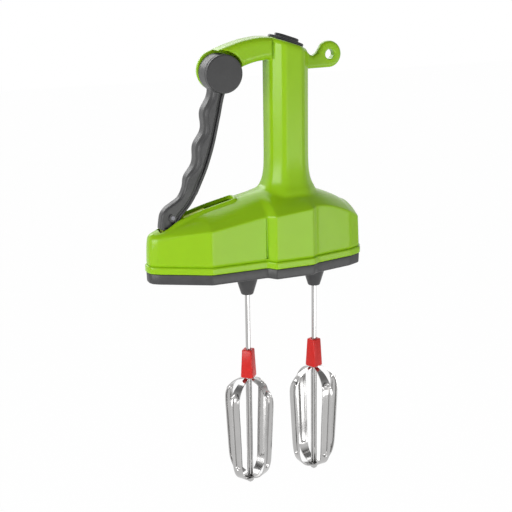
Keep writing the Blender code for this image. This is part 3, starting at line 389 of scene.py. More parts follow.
def loft(rings, closed=False):
    """Skin rings of equal length, with flat ends, or joined end to end when closed."""
    bm = bmesh.new()
    rows = [[bm.verts.new(point) for point in ring] for ring in rings]
    pairs = list(zip(rows, rows[1:]))
    if closed:
        pairs.append((rows[-1], rows[0]))
    for one, two in pairs:
        for i in range(len(one)):
            j = (i + 1) % len(one)
            bm.faces.new((one[i], one[j], two[j], two[i]))
    if not closed:
        bm.faces.new(rows[0][::-1])
        bm.faces.new(rows[-1])
    return bm


def circle(centre, radius, count, turn=0.0):
    """A closed ring of points."""
    return [(centre[0] + radius * math.cos(turn + math.tau * i / count),
             centre[1] + radius * math.sin(turn + math.tau * i / count)) for i in range(count)]


def arc(centre, radius, start, end, count):
    """Points on an arc, with angles in radians from +X."""
    span = [start + (end - start) * i / (count - 1) for i in range(count)]
    return [(centre[0] + radius * math.cos(a), centre[1] + radius * math.sin(a)) for a in span]


def flat(outline, z):
    """Lift an outline of (x, y) points to a height."""
    return [Vector((x, y, z)) for x, y in outline]


def upright(outline, y):
    """Stand an outline of (x, z) points up at this place along Y."""
    return [Vector((x, y, z)) for x, z in outline]


def stacked(profile, centre=(0.0, 0.0), count=48, turn=0.0):
    """Stack rings of (radius, z) on a vertical axis, with flat ends."""
    return loft([flat(circle(centre, r, count, turn), z) for r, z in profile])


def turned(profile, centre=(0.0, 0.0), count=48):
    """Turn a closed loop of (radius, z) points round a vertical axis, clear of the axis."""
    rings = []
    for i in range(count):
        a = math.tau * i / count
        rings.append([Vector((centre[0] + r * math.cos(a), centre[1] + r * math.sin(a), z))
                      for r, z in profile])
    return loft(rings, closed=True)


def along_y(bm, centre=CENTRE):
    """Lay a shape made on the Z axis along Y instead: its z becomes y."""
    swap = Matrix(((1, 0, 0, centre[0]), (0, 0, 1, 0), (0, -1, 0, centre[1]), (0, 0, 0, 1)))
    bmesh.ops.transform(bm, matrix=swap, verts=bm.verts[:])
    return bm


def eased(corners, reach, steps=5):
    """Round every corner of a closed outline; reach, how far from it, may be one per corner."""
    points = []
    for i, corner in enumerate(corners):
        here = Vector(corner)
        back = Vector(corners[i - 1])
        ahead = Vector(corners[(i + 1) % len(corners)])
        near = reach[i] if isinstance(reach, (list, tuple)) else reach
        one = here + (back - here) * min(0.48, near / (back - here).length)
        two = here + (ahead - here) * min(0.48, near / (ahead - here).length)
        for k in range(steps + 1):
            t = k / steps
            points.append(tuple(one * (1 - t) ** 2 + here * 2 * t * (1 - t) + two * t ** 2))
    return points


def spaced(points, longest):
    """Add points to a closed outline so that no step is longer than this."""
    made = []
    for i, one in enumerate(points):
        two = points[(i + 1) % len(points)]
        parts = max(1, math.ceil(math.dist(one, two) / longest))
        made += [tuple(a + (b - a) * k / parts for a, b in zip(one, two)) for k in range(parts)]
    return made


def moved_out(points, offset):
    """Move a closed counter-clockwise outline outwards by an offset."""
    moved = []
    for i, point in enumerate(points):
        here = Vector(point)
        one = (here - Vector(points[i - 1])).normalized()
        two = (Vector(points[(i + 1) % len(points)]) - here).normalized()
        out_one = Vector((one.y, -one.x))
        miter = (out_one + Vector((two.y, -two.x))).normalized()
        moved.append(tuple(here + miter * offset / max(0.5, miter.dot(out_one))))
    return moved


def curve_through(points, x):
    """Read a smooth line through (x, value) points with a Catmull-Rom spline."""
    if x <= points[0][0]:
        return points[0][1]
    if x >= points[-1][0]:
        return points[-1][1]
    for i in range(len(points) - 1):
        if x <= points[i + 1][0]:
            break
    x0, y0 = points[i]
    x1, y1 = points[i + 1]
    before = points[i - 1] if i else (2 * x0 - x1, 2 * y0 - y1)
    after = points[i + 2] if i + 2 < len(points) else (2 * x1 - x0, 2 * y1 - y0)
    run = x1 - x0
    slope0 = (y1 - before[1]) / (x1 - before[0]) * run
    slope1 = (after[1] - y0) / (after[0] - x0) * run
    t = (x - x0) / run
    return ((2 * t ** 3 - 3 * t ** 2 + 1) * y0 + (t ** 3 - 2 * t ** 2 + t) * slope0
            + (3 * t ** 2 - 2 * t ** 3) * y1 + (t ** 3 - t ** 2) * slope1)


def smooth_path(points, step):
    """Read a smooth path through 2-D points, with points about this far apart."""
    lengths = [0.0]
    for one, two in zip(points, points[1:]):
        lengths.append(lengths[-1] + math.dist(one, two))
    first = list(zip(lengths, (p[0] for p in points)))
    second = list(zip(lengths, (p[1] for p in points)))
    count = math.ceil(lengths[-1] / step)
    marks = [lengths[-1] * i / count for i in range(count + 1)]
    return [(curve_through(first, s), curve_through(second, s)) for s in marks]


def soft_step(value, start, end):
    """A soft step from 0 at start to 1 at end."""
    t = min(1.0, max(0.0, (value - start) / (end - start)))
    return t * t * (3 - 2 * t)


def below_pivot(radius, angle):
    """A point (x, z) at a distance from the pivot; the angle is from straight down."""
    return (PIVOT_X + radius * math.sin(angle), PIVOT_Z - radius * math.cos(angle))


def quarter(steps):
    """Shares (across, along) of a rounded edge's radius, from its side to its end."""
    turns = [math.pi / 2 * k / steps for k in range(steps + 1)]
    return [(1 - math.cos(a), 1 - math.sin(a)) for a in turns]


def pillow(outline, front, back, round_front, round_back, steps=6):
    """Extrude a counter-clockwise (x, z) outline along Y, with rounded front and back edges."""
    levels = sorted((front + round_front * along, -round_front * across) for across, along in quarter(steps))
    levels += sorted((back - round_back * along, -round_back * across) for across, along in quarter(steps))
    return loft([upright(moved_out(outline, inset), y) for y, inset in levels])


# Housing

def plan_corners():
    """The gear body's outline, counter-clockwise from the nose's front side."""
    half = [
        (NOSE_X, 2.5 * MM),
        (NOSE_X + 1.2 * MM, 5.6 * MM),
        (NOSE_X + 5.0 * MM, 8.6 * MM),
        (SHOULDER_X, BODY_HALF),
        (BULGE_START, BODY_HALF),
        (BULGE_START + BULGE_STEP, BULGE_HALF),
        (BULGE_END - BULGE_STEP, BULGE_HALF),
        (BULGE_END, BULGE_HALF - 3.3 * MM),
        (RIGHT_X - 14.2 * MM, BODY_HALF - 3.6 * MM),
        (RIGHT_X - 5.4 * MM, BODY_HALF - 7.8 * MM),
        (RIGHT_X - 1.7 * MM, BODY_HALF - 15.0 * MM),
        (RIGHT_X, 3.0 * MM),
    ]
    return [(x, -w) for x, w in half] + [(x, w) for x, w in reversed(half)]


PLAN = spaced(eased(plan_corners(), PLAN_CORNER), PLAN_STEP)


def roof_ring(outline, t, drop=0.0):
    """One ring of the roof, drawn in by t from the outline towards the spine."""
    ring = []
    for x, y in outline:
        spine_x = min(max(x, ROOF_SPINE[0][0]), ROOF_SPINE[-1][0])
        edge = curve_through(ROOF_EDGE, x)
        rise = curve_through(ROOF_SPINE, spine_x) - edge
        z = edge + rise * (1 - (1 - t) ** 2) - drop
        ring.append(Vector((x + (spine_x - x) * t, y * (1 - t), z)))
    return ring


def body_solid(levels, roof_offset, steps, drop):
    """A closed body: wall rings (z, offset), roof rings, and a strip across the spine."""
    rings = [flat(moved_out(PLAN, offset), z) for z, offset in levels]
    outline = moved_out(PLAN, roof_offset)
    rings += [roof_ring(outline, t, drop) for t in steps]
    bm = bmesh.new()
    rows = [[bm.verts.new(point) for point in ring] for ring in rings]
    count = len(outline)
    for one, two in zip(rows, rows[1:]):
        for i in range(count):
            j = (i + 1) % count
            bm.faces.new((one[i], one[j], two[j], two[i]))
    bm.faces.new(rows[0][::-1])
    bmesh.ops.triangulate(bm, faces=[bm.faces.new(rows[-1])])
    return bm


def column_ring(half, z, tilt):
    """An octagon with narrow flats on its corners, its top tilted down towards +X."""
    corner = math.radians(27.0)
    narrow = math.radians(5.5)
    reach = half / math.cos(corner - narrow)
    ring = []
    for k in range(4):
        for side in (corner, math.pi / 2 - corner):
            for a in (side - narrow, side + narrow):
                x = reach * math.cos(k * math.pi / 2 + a)
                y = reach * math.sin(k * math.pi / 2 + a)
                ring.append(Vector((x, y, z - tilt * math.tan(TOP_TILT) * x)))
    return ring


def column_solid():
    """The hand column with its flared root and rounded top."""
    rings = []
    z = FLARE[0][0]
    while z < COLUMN_LEVEL_END:
        rings.append(column_ring(COLUMN_HALF * curve_through(FLARE, z), z, 0))
        z += COLUMN_STEP
    for across, along in quarter(8):
        inset = TOP_ROUND * across * TOP_ROUND_IN
        rings.append(column_ring(COLUMN_HALF - inset, COLUMN_TOP - TOP_ROUND * along, 1))
    return loft(rings)


def arm_solid():
    """The arm from the column to the lever's pivot, with a rounded front."""
    top = [(-58.0, 146.0), (-52.0, 151.6), (-45.0, 154.2), (-38.0, 156.4), (-32.0, 158.0), (-24.0, 159.2),
           (-18.0, 159.6), (-10.0, 159.0), (-2.0, 155.5)]
    low = [(-2.0, 143.6), (-14.0, 144.6), (-24.0, 143.4), (-32.0, 141.2), (-38.0, 138.4), (-44.0, 133.0),
           (-54.0, 129.0)]
    outline = [(x * MM, z * MM) for x, z in reversed(low)] + [(x * MM, z * MM) for x, z in reversed(top)]
    return pillow(eased(outline, 4 * MM, 4), ARM_FRONT, ARM_BACK, 4.2 * MM, 3.6 * MM)


def end_plate():
    """The round plate behind the lever's hub."""
    soft = 1.0 * MM
    profile = [(PLATE_R, HUB_BACK + GAP)]
    profile += [(PLATE_R - soft * across, ARM_BACK - soft * along) for across, along in quarter(6)]
    return along_y(stacked(profile, count=72), PLATE)


def loop_solid():
    """The hanging loop with its rounded lug."""
    ring = arc((LOOP_X, LOOP_Z), LOOP_R, math.radians(-95), math.radians(130), 30)
    root = [(23.0 * MM, LOOP_Z + 1.4 * MM), (19.6 * MM, LOOP_Z - 0.6 * MM), (17.4 * MM, LOOP_Z + 0.6 * MM),
            (14.2 * MM, LOOP_Z + 4.4 * MM), (8.7 * MM, LOOP_Z + 4.4 * MM),
            (8.7 * MM, LOOP_Z - LOOP_R - 0.4 * MM)]
    return pillow(ring + root, -LOOP_HALF - 0.3 * MM, LOOP_HALF + 0.3 * MM, 2.2 * MM, 2.2 * MM)


def cylinder_y(radius, front, back, centre=CENTRE, count=64):
    """A plain cylinder along Y."""
    return along_y(stacked([(radius, front), (radius, back)], count=count), centre)


def stadium(length, width, count=14):
    """An oblong outline with round ends, centred on the origin."""
    straight = (length - width) / 2
    right = arc((straight, 0), width / 2, -math.pi / 2, math.pi / 2, count)
    left = arc((-straight, 0), width / 2, math.pi / 2, 3 * math.pi / 2, count)
    return right + left


def slot_outline():
    """The slot in the roof, square at the lever's end and round at the other."""
    corners = [(SLOT_LEFT, -SLOT_HALF), (SLOT_RIGHT, -SLOT_HALF),
               (SLOT_RIGHT, SLOT_HALF), (SLOT_LEFT, SLOT_HALF)]
    reach = (SLOT_LEFT_SOFT, SLOT_RIGHT_SOFT, SLOT_RIGHT_SOFT, SLOT_LEFT_SOFT)
    return spaced(eased(corners, reach, 6), 1.5 * MM)


def roof_height(x, y):
    """How high the roof stands at this place."""
    half = max(0.5 * MM, max(w for px, w in PLAN if abs(px - x) < PLAN_REACH) - DRAFT)
    spine = curve_through(ROOF_SPINE, x)
    return spine - (spine - curve_through(ROOF_EDGE, x)) * min(1.0, abs(y) / half) ** 2


def slot_rim():
    """The raised rim round the slot, which fades out towards the lever's foot."""
    rings = []
    for out, rise in RIM_PROFILE:
        ring = []
        for x, y in moved_out(slot_outline(), out):
            share = soft_step(x, *RIM_FADE) if rise > -1.0 * MM else 1.0
            ring.append(Vector((x, y, roof_height(x, y) + rise * share - RIM_SUNK * (1 - share))))
        rings.append(ring)
    return loft(rings, closed=True)


def slot_pocket():
    """Room under the roof round the slot, which leaves the roof thin at the slot's edge."""
    outline = moved_out(slot_outline(), 2.2 * MM)
    middle = (SLOT_LEFT + SLOT_RIGHT) / 2
    rings = [flat(outline, SLOT_TOOL[0])]
    for share in (1.0, 0.7, 0.35, 0.05):
        ring = []
        for x, y in outline:
            x = middle + (x - middle) * share
            y *= share
            ring.append(Vector((x, y, roof_height(x, y) - 0.9 * MM)))
        rings.append(ring)
    return loft(rings)


def soft_places(place):
    """How much the housing's skin is relaxed: at the column's foot and the nose's top edge."""
    foot = 1 - soft_step(math.hypot(place.x, place.y), *FOOT_RELAX_R)
    foot *= soft_step(place.z, *FOOT_RELAX_LOW) * (1 - soft_step(place.z, *FOOT_RELAX_HIGH))
    nose = soft_step(-place.x, *NOSE_RELAX_X) * soft_step(place.z, *NOSE_RELAX_LOW)
    return max(foot, nose * (1 - soft_step(place.z, *NOSE_RELAX_HIGH)))


def housing():
    """Green moulding: body with its groove, column, arm and loop, hollow inside."""
    walls = [(BEAD_LOW + 0.4 * MM, -GROOVE_IN), (BEAD_TOP + 0.4 * MM, -GROOVE_IN),
             (BEAD_TOP + 1.1 * MM, 0.0), (24 * MM, -DRAFT / 2)]
    steps = [0.0, 0.02, 0.05, 0.1] + [0.1 + 0.8 * (k + 1) / 12 for k in range(12)]
    core = body_solid(walls, -DRAFT, steps, 0.0)
    arm = piece("arm", arm_solid(), None, None)
    for radius, centre in ((HUB_R + RUN_GAP + GAP, CENTRE), (PLATE_R + GAP, PLATE)):
        combined(arm, cylinder_y(radius, ARM_FRONT - 4 * MM, HUB_BACK + GAP, centre), "DIFFERENCE")
    eye = cylinder_y(LOOP_HOLE_R + 0.2 * MM, -2 * LOOP_HALF, 2 * LOOP_HALF, (LOOP_X, LOOP_Z), 40)
    lug = combined(piece("lug", loop_solid(), None, None), eye, "DIFFERENCE")
    parts = [core, column_solid(), taken(arm), end_plate(), taken(lug), slot_rim()]
    shell = fused("housing_shell", parts, SKIN_VOXEL, 4)
    relaxed(shell, soft_places, RELAX_ROUNDS)
    for x, y, low, high in ((BULGE_START + 0.1 * MM, -BODY_HALF - 0.1 * MM, BEAD_TOP + 1.6 * MM, 42.0 * MM),
                            (SEAM_ARM_X, ARM_FRONT, PIVOT_Z + 8 * MM, COLUMN_TOP + 3 * MM)):
        combined(shell, stacked([(SEAM_R, low), (SEAM_R, high)], (x, y), 20), "DIFFERENCE", None)
    inside = body_solid([(-1.0 * MM, -WALL), (BEAD_TOP, -WALL)], -DRAFT - WALL,
                        (0.0, 0.2, 0.4, 0.6, 0.88), WALL)
    combined(shell, inside, "DIFFERENCE", None)
    combined(shell, slot_pocket(), "DIFFERENCE", None)
    combined(shell, loft([flat(slot_outline(), z) for z in SLOT_TOOL]), "DIFFERENCE", 50)
    shell.data.materials.clear()
    shell.data.materials.append(GREEN)
    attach(shell, "housing")
    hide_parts("upper_housing")


def bead():
    """The rounded green band along the housing's lower edge."""
    soft = 1.1 * MM
    low = BEAD_LOW
    edge = quarter(6)
    profile = [(low, -WALL), (low, BEAD_OUT - soft)]
    profile += [(low + soft * across * 0.8, BEAD_OUT - soft * along) for across, along in edge[1:]]
    profile += [(BEAD_TOP - soft * along, BEAD_OUT - soft * across) for across, along in edge]
    profile.append((BEAD_TOP, -WALL))
    rings = [flat(moved_out(PLAN, offset), z) for z, offset in profile]
    piece("housing_bead", loft(rings, closed=True), GREEN, "housing", (), 50)


def cover():
    """Dark tray under the body, with the two conical bosses."""
    soft = 1.2 * MM
    profile = sorted((soft * along, -soft * across) for across, along in quarter(6))
    profile += [(COVER_TOP - 0.5 * MM, 0.2 * MM), (COVER_TOP - 0.1 * MM, 0.0), (COVER_TOP, -0.4 * MM),
                (COVER_TOP, -WALL - GAP), (COVER_TOP + COVER_LIP, -WALL - GAP),
                (COVER_TOP + COVER_LIP, -WALL - GAP - LIP_WALL), (COVER_PLATE, -WALL - GAP - LIP_WALL)]
    tray = piece("cover_tray", loft([flat(moved_out(PLAN, offset), z) for z, offset in profile]), DARK,
                 "housing", ("bottom_cover",), 40)
    for x in BEATER_X.values():
        wide = 1.8 * MM
        outline = [(BOSS_END_R - 0.9 * MM, BOSS_END), (BOSS_END_R - 0.35 * MM, BOSS_END + 0.2 * MM),
                   (BOSS_END_R, BOSS_END + 0.9 * MM)]
        foot = (BOSS_TOP_R, -wide)
        outline.append(foot)
        for k in range(1, 6):
            t = k / 5
            outline.append((BOSS_TOP_R + wide * t * t, -wide * (1 - t) + 0.6 * MM * t))
        outline.append((BUSH_R + 2.2 * MM, 1.5 * MM))
        combined(tray, stacked(outline, (x, 0), 64), "UNION")
        combined(tray, stacked([(BUSH_R + GAP, BOSS_END - 1 * MM), (BUSH_R + GAP, 8 * MM)], (x, 0), 40),
                 "DIFFERENCE")
    return tray


def top_cap():
    """Black two-step cap on the column's top, with its plug."""
    plug = 6.0 * MM
    edge = 0.6 * MM
    soft = 0.7 * MM
    steps = [(CAP_LENGTH - plug, CAP_WIDTH - plug, -4.0 * MM), (CAP_LENGTH - plug, CAP_WIDTH - plug, GAP),
             (CAP_LENGTH - edge, CAP_WIDTH - edge, GAP)]
    for start, z, inset in ((GAP, CAP_LOW, 0.0), (CAP_LOW, CAP_HIGH, 8.0 * MM)):
        steps.append((CAP_LENGTH - inset, CAP_WIDTH - inset * 0.8, start + 0.3 * MM))
        for across, along in quarter(5):
            trim = inset + 2 * soft * across
            steps.append((CAP_LENGTH - trim, CAP_WIDTH - trim * 0.85, z - soft * along))
    bm = loft([flat(stadium(length, width), z) for length, width, z in steps])
    place = Matrix.Translation((0, 0, COLUMN_TOP)) @ Matrix.Rotation(TOP_TILT, 4, "Y")
    bmesh.ops.transform(bm, matrix=place, verts=bm.verts[:])
    piece("cap_shell", bm, BLACK, "housing", ("top_cap",))


# Lever

def lever_edges():
    """The lever's finger and palm edges, (x, z), from the hub down to the foot's sole."""
    path = smooth_path([(PIVOT_X + x, PIVOT_Z + z) for x, z in GRIP_LINE], 1.2 * MM)
    edges = []
    for i, (x, z) in enumerate(path):
        one = path[max(0, i - 1)]
        two = path[min(len(path) - 1, i + 1)]
        ahead = Vector((two[0] - one[0], two[1] - one[1])).normalized()
        wave = math.cos(math.tau * (z - PIVOT_Z + FINGER_TOP) / FINGER_PITCH)
        fade = 1 - soft_step(math.dist((x, z), CENTRE), FINGER_FADE_R, TAPER_END_R)
        left = GRIP_LEFT + FINGER_DEPTH * wave * fade
        edges.append(((x + ahead.y * left, z - ahead.x * left),
                      (x - ahead.y * GRIP_RIGHT, z + ahead.x * GRIP_RIGHT)))
    steps = 24
    for k in range(steps + 1):
        rise = 27.7 * MM * (1 - k / steps)
        edges.append((below_pivot(FOOT_R - rise, curve_through(FOOT_FINGERS, rise)),
                      below_pivot(FOOT_R - rise, curve_through(FOOT_PALM, rise))))
    return edges


def lever_section(fingers, palm):
    """One section of the lever between its two edges: flange, groove and round front."""
    narrow = soft_step(math.dist(fingers, CENTRE), TAPER_R, TAPER_END_R)
    half = GRIP_HALF + (FOOT_HALF - GRIP_HALF) * narrow
    groove = GRIP_GROOVE + (FOOT_GROOVE - GRIP_GROOVE) * narrow
    soft = 1 - 0.55 * narrow
    length = math.dist(fingers, palm)
    rim = half - 0.3 * MM
    shape = [(0.0, half - 1.3 * MM), (0.6 * MM, rim), (1.9 * MM, rim), (2.1 * MM, half - groove),
             (3.9 * MM, half - groove), (4.1 * MM, half), (length - 2.9 * MM * soft, half),
             (length - 1.0 * MM * soft, half - 1.3 * MM * soft), (length, half - 3.6 * MM * soft)]
    outline = shape + [(d, -y) for d, y in reversed(shape)]
    way = (Vector(fingers) - Vector(palm)) / length
    return [Vector((palm[0] + way.x * d, y, palm[1] + way.y * d)) for d, y in eased(outline, 0.4 * MM, 2)]


def foot_recess():
    """Outline of the shallow recess in each side of the foot."""
    rises = [(1.4 + 1.2 * k) * MM for k in range(10)]
    left = [below_pivot(FOOT_R - rise, curve_through(FOOT_FINGERS, rise) + 2.3 * MM / FOOT_R)
            for rise in rises]
    right = [below_pivot(FOOT_R - rise, curve_through(FOOT_PALM, rise) - 3.3 * MM / FOOT_R)
             for rise in rises]
    return spaced(eased(left[::-1] + right, 0.5 * MM, 2), 1.0 * MM)


def lever():
    """Squeeze lever: hub, scalloped grip and the foot that carries the rack."""
    soft = 0.8 * MM
    hub = along_y(stacked([(HUB_R - soft, HUB_FRONT), (HUB_R - soft * 0.3, HUB_FRONT + soft * 0.3),
                           (HUB_R, HUB_FRONT + soft), (HUB_R, HUB_BACK - soft),
                           (HUB_R - soft * 0.3, HUB_BACK - soft * 0.3), (HUB_R - soft, HUB_BACK)], count=72))
    blade = loft([lever_section(fingers, palm) for fingers, palm in lever_edges()])
    whole = fused("lever_shell", [blade, hub], LEVER_VOXEL, 3)
    combined(whole, cylinder_y(PLATE_R + 1.5 * MM, HUB_BACK, HUB_BACK + 9 * MM), "DIFFERENCE", None)
    deep = HUB_BACK - 8.2 * MM
    room = 1.8 * MM
    well = turned([(SPRING_R - room, deep), (SPRING_R + room, deep), (SPRING_R + room, HUB_BACK + 2 * MM),
                   (SPRING_R - room, HUB_BACK + 2 * MM)], count=48)
    combined(whole, along_y(well), "DIFFERENCE", None)
    combined(whole, cylinder_y(BOLT_R + GAP, HUB_FRONT - 3 * MM, HUB_BACK + 3 * MM), "DIFFERENCE", None)
    plug_hole = cylinder_y(CAP_PLUG_R + GAP, HUB_FRONT - 3 * MM, HUB_FRONT + 2.8 * MM)
    combined(whole, plug_hole, "DIFFERENCE", None)
    boss_at = below_pivot(RACK_IN + BOSS_PIN[0], BOSS_PIN[1])
    for side in (-1, 1):
        near = side * (FOOT_HALF - 1.2 * MM)
        far = side * (FOOT_HALF + 2 * MM)
        low, high = sorted((near, far))
        combined(whole, loft([upright(foot_recess(), y) for y in (low, high)]), "DIFFERENCE", None)
        low, high = sorted((near - side * 0.3 * MM, side * (FOOT_HALF - 0.1 * MM)))
        combined(whole, cylinder_y(2.5 * MM, low, high, boss_at, 40), "UNION", None)
    fork = []
    for radius, first, last in ((FOOT_R + 3 * MM, *FORK), (RACK_IN - GAP, *reversed(FORK))):
        fork += [below_pivot(radius, first + (last - first) * k / 16) for k in range(17)]
    cut = loft([upright(fork, y) for y in (-RACK_HALF - GAP, RACK_HALF + GAP)])
    combined(whole, cut, "DIFFERENCE", 45)
    whole.data.materials.clear()
    whole.data.materials.append(DARK)
    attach(whole, "squeeze_lever")
    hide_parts("lever")


def disc():
    """The round cap over the lever's pivot."""
    face = HUB_FRONT - GAP
    radius = HUB_R - 0.1 * MM
    front = face - 2.3 * MM
    soft = 0.8 * MM
    profile = [(radius - 3.0 * MM, front), (radius - 1.6 * MM, front + 0.02 * MM)]
    profile += [(radius - soft * along, front + soft * across) for across, along in quarter(6)]
    profile += [(radius, face), (CAP_PLUG_R, face), (CAP_PLUG_R, face + 2.0 * MM)]
    piece("pivot_disc", along_y(stacked(profile, count=96)), DISC, "squeeze_lever", ("pivot_cap",))


# Beaters

def hoop_path(lift):
    """Half of a beater hoop as (radius, z), from the collar to the middle of the bottom."""
    low = CAGE_END + lift
    neck = [(NECK_R, POCKET_TOP - 1.2 * MM), (NECK_R, (POCKET_TOP + COLLAR_END) / 2),
            (NECK_R, COLLAR_END + 0.2 * MM)]
    shoulder = [(r * MM, z * MM) for r, z in (
        (3.5, -80.8), (5.6, -81.6), (9.0, -82.9), (12.8, -85.6), (16.0, -89.4), (17.8, -93.2))]
    flank = [(CAGE_R, -98.0 * MM), (CAGE_R - 0.7 * MM, -112.0 * MM), (CAGE_R - 1.7 * MM, -130.0 * MM),
             (CAGE_R - 2.6 * MM, -144.0 * MM)]
    turn = [(14.4 * MM, low + 8.0 * MM), (12.0 * MM, low + 4.0 * MM), (8.4 * MM, low + 1.3 * MM),
            (4.6 * MM, low + 0.05 * MM), (0.0, low)]
    return neck + shoulder + flank + turn


def channel(across, z, width):
    """How far the blade is pressed in at this place: a trough with a raised lip over its top."""
    top = CHANNEL_TOP - width * 0.5
    centre_z = min(max(z, CHANNEL_END), top)
    away = math.hypot(across, z - centre_z) / (width * CHANNEL_SHARE)
    edge = min(1.0, max(0.0, (1.0 - away) / CHANNEL_SIDE))
    lip = max(0.0, 1 - ((away - LIP_AWAY) / LIP_REACH) ** 2) if z > top else 0.0
    return CHANNEL_DEEP * edge * edge * (3 - 2 * edge) - CHANNEL_LIP * lip


def hoop(name, node, body, lift, place, phase):
    """One strip bent down one side of the cage, across the bottom and up the other side."""
    half = smooth_path(hoop_path(lift), 0.6 * MM)
    path = [(r, z) for r, z in half] + [(-r, z) for r, z in reversed(half[:-1])]
    across_steps = 16
    rings = []
    for i, (r, z) in enumerate(path):
        one = path[max(0, i - 1)]
        two = path[min(len(path) - 1, i + 1)]
        ahead = Vector((two[0] - one[0], 0, two[1] - one[1])).normalized()
        out = Vector((-ahead.z, 0, ahead.x))
        width = curve_through(HOOP_WIDTH, -z)
        outer = []
        for k in range(across_steps + 1):
            across = width * (2 * k / across_steps - 1)
            outer.append(Vector((r, across, z)) - out * channel(across, z, width))
        inner = [point - out * BLADE for point in reversed(outer)]
        rings.append(outer + inner)
    bm = loft(rings)
    turn = Matrix.Translation((*place, 0)) @ Matrix.Rotation(phase, 4, "Z")
    bmesh.ops.transform(bm, matrix=turn, verts=bm.verts[:])
    strip = piece(name, bm, STEEL, body, (node,), 50)
    hole = stacked([(ROD_TIP_R + GAP, CAGE_END - 3 * MM), (ROD_TIP_R + GAP, CAGE_END + 6 * MM)], place, 24)
    combined(strip, hole, "DIFFERENCE", 50)


def beater(side):
    """Rod, collar, two crossed hoops and the tip nut of one beater."""
    x = BEATER_X[side]
    phase = BEATER_PHASE[side]
    place = (x, 0.0)
    body = f"beater_{side}"
    shoulder = CAGE_END + 2 * BLADE + 3 * GAP
    top = CAGE_END - GAP
    end = top - 3.7 * MM
    rod = [(ROD_TIP_R - 0.5 * MM, end), (ROD_TIP_R, end + 0.6 * MM), (ROD_TIP_R, shoulder),
           (STEM_R - 0.3 * MM, shoulder), (STEM_R, shoulder + 0.3 * MM), (STEM_R, STEM_TOP),
           (ROD_R, STEM_TOP), (ROD_R, ROD_TOP - 0.4 * MM), (ROD_R - 0.4 * MM, ROD_TOP)]
    piece(f"rod_{side}", stacked(rod, place, 32), STEEL, body, (f"beater_rod_{side}",))
    rings = []
    for half, z, soft in ((COLLAR_HALF_TOP - 0.8 * MM, COLLAR_TOP, 0.7 * MM),
                          (COLLAR_HALF_TOP - 0.25 * MM, COLLAR_TOP - 0.15 * MM, 0.9 * MM),
                          (COLLAR_HALF_TOP, COLLAR_TOP - 0.6 * MM, 1.0 * MM),
                          (COLLAR_HALF_END, COLLAR_END + 0.8 * MM, 1.2 * MM),
                          (COLLAR_HALF_END - 0.2 * MM, COLLAR_END + 0.2 * MM, 1.2 * MM),
                          (COLLAR_HALF_END - 0.6 * MM, COLLAR_END, 1.1 * MM)):
        ring = []
        for k in range(4):
            for px, py in arc((half - soft, half - soft), soft, 0.0, math.pi / 2, 7):
                turn = Matrix.Rotation(k * math.pi / 2 + phase + COLLAR_TURN, 3, "Z")
                ring.append(turn @ Vector((px, py, 0)) + Vector((x, 0, z)))
        rings.append(ring)
    collar = piece(f"collar_shell_{side}", loft(rings), RED, body, (f"collar_{side}",), 50)
    bore = stacked([(POCKET_R, COLLAR_END - 2 * MM), (POCKET_R, POCKET_TOP), (ROD_R + GAP, POCKET_TOP),
                    (ROD_R + GAP, COLLAR_TOP + 2 * MM)], place, 40)
    combined(collar, bore, "DIFFERENCE", 50)
    hoop(f"blade_outer_{side}", f"hoop_outer_{side}", body, 0.0, place, phase)
    hoop(f"blade_inner_{side}", f"hoop_inner_{side}", body, BLADE + GAP, place, phase + math.pi / 2)
    nut = turned([(ROD_TIP_R + GAP, top), (2.5 * MM, top), (2.7 * MM, top - 0.2 * MM),
                  (2.7 * MM, top - 1.4 * MM), (2.5 * MM, top - 2.2 * MM), (2.0 * MM, top - 2.8 * MM),
                  (1.7 * MM, top - 3.0 * MM), (ROD_TIP_R + GAP, top - 3.0 * MM)], place, 32)
    piece(f"tip_{side}", nut, STEEL, body, (f"tip_nut_{side}",))


# Carried-over nodes, camera and light

def dress_nodes():
    """Give every node that still shows its material."""
    looks = {"gear": NYLON, "axle": FASTENER, "clip": FASTENER, "screw": FASTENER, "bush": BRASS,
             "pivot_bolt": FASTENER, "pivot_nut": FASTENER, "spring": FASTENER, "rack": LIME,
             "rack_pin": BLUED}
    for name, node in frame["nodes"].items():
        match = max((key for key in looks if key in name), key=len, default=None)
        if match:
            node.data.materials.clear()
            node.data.materials.append(looks[match])


def camera():
    """The camera at the photograph's place."""
    a, e = CAMERA_AZIMUTH, CAMERA_ELEVATION
    back = Vector((math.sin(a) * math.cos(e), -math.cos(a) * math.cos(e), math.sin(e)))
    right = Vector((math.cos(a), math.sin(a), 0))
    up = back.cross(right)
    rolled_right = right * math.cos(CAMERA_ROLL) + up * math.sin(CAMERA_ROLL)
    rolled_up = -right * math.sin(CAMERA_ROLL) + up * math.cos(CAMERA_ROLL)
    turn = Matrix((rolled_right, rolled_up, back)).transposed().to_4x4()
    lens = bpy.data.cameras.new("camera")
    lens.sensor_width = 36.0
    lens.lens = lens.sensor_width / 2 / math.tan(CAMERA_VIEW_ANGLE / 2)
    lens.clip_start = 0.01
    lens.clip_end = 50.0
    thing = bpy.data.objects.new("camera", lens)
    thing.matrix_world = Matrix.Translation(CAMERA_TARGET + back * CAMERA_DISTANCE) @ turn
    bpy.context.scene.collection.objects.link(thing)
    bpy.context.scene.camera = thing


def background_ray(tree):
    """One where a ray comes straight from the camera, a gloss or a clear surface."""
    path = add(tree, "ShaderNodeLightPath")
    first = add(tree, "ShaderNodeMath", {"operation": "MAXIMUM"})
    tree.links.new(path.outputs["Is Camera Ray"], first.inputs[0])
    tree.links.new(path.outputs["Is Glossy Ray"], first.inputs[1])
    second = add(tree, "ShaderNodeMath", {"operation": "MAXIMUM"})
    tree.links.new(first.outputs[0], second.inputs[0])
    tree.links.new(path.outputs["Is Transmission Ray"], second.inputs[1])
    return second.outputs[0]


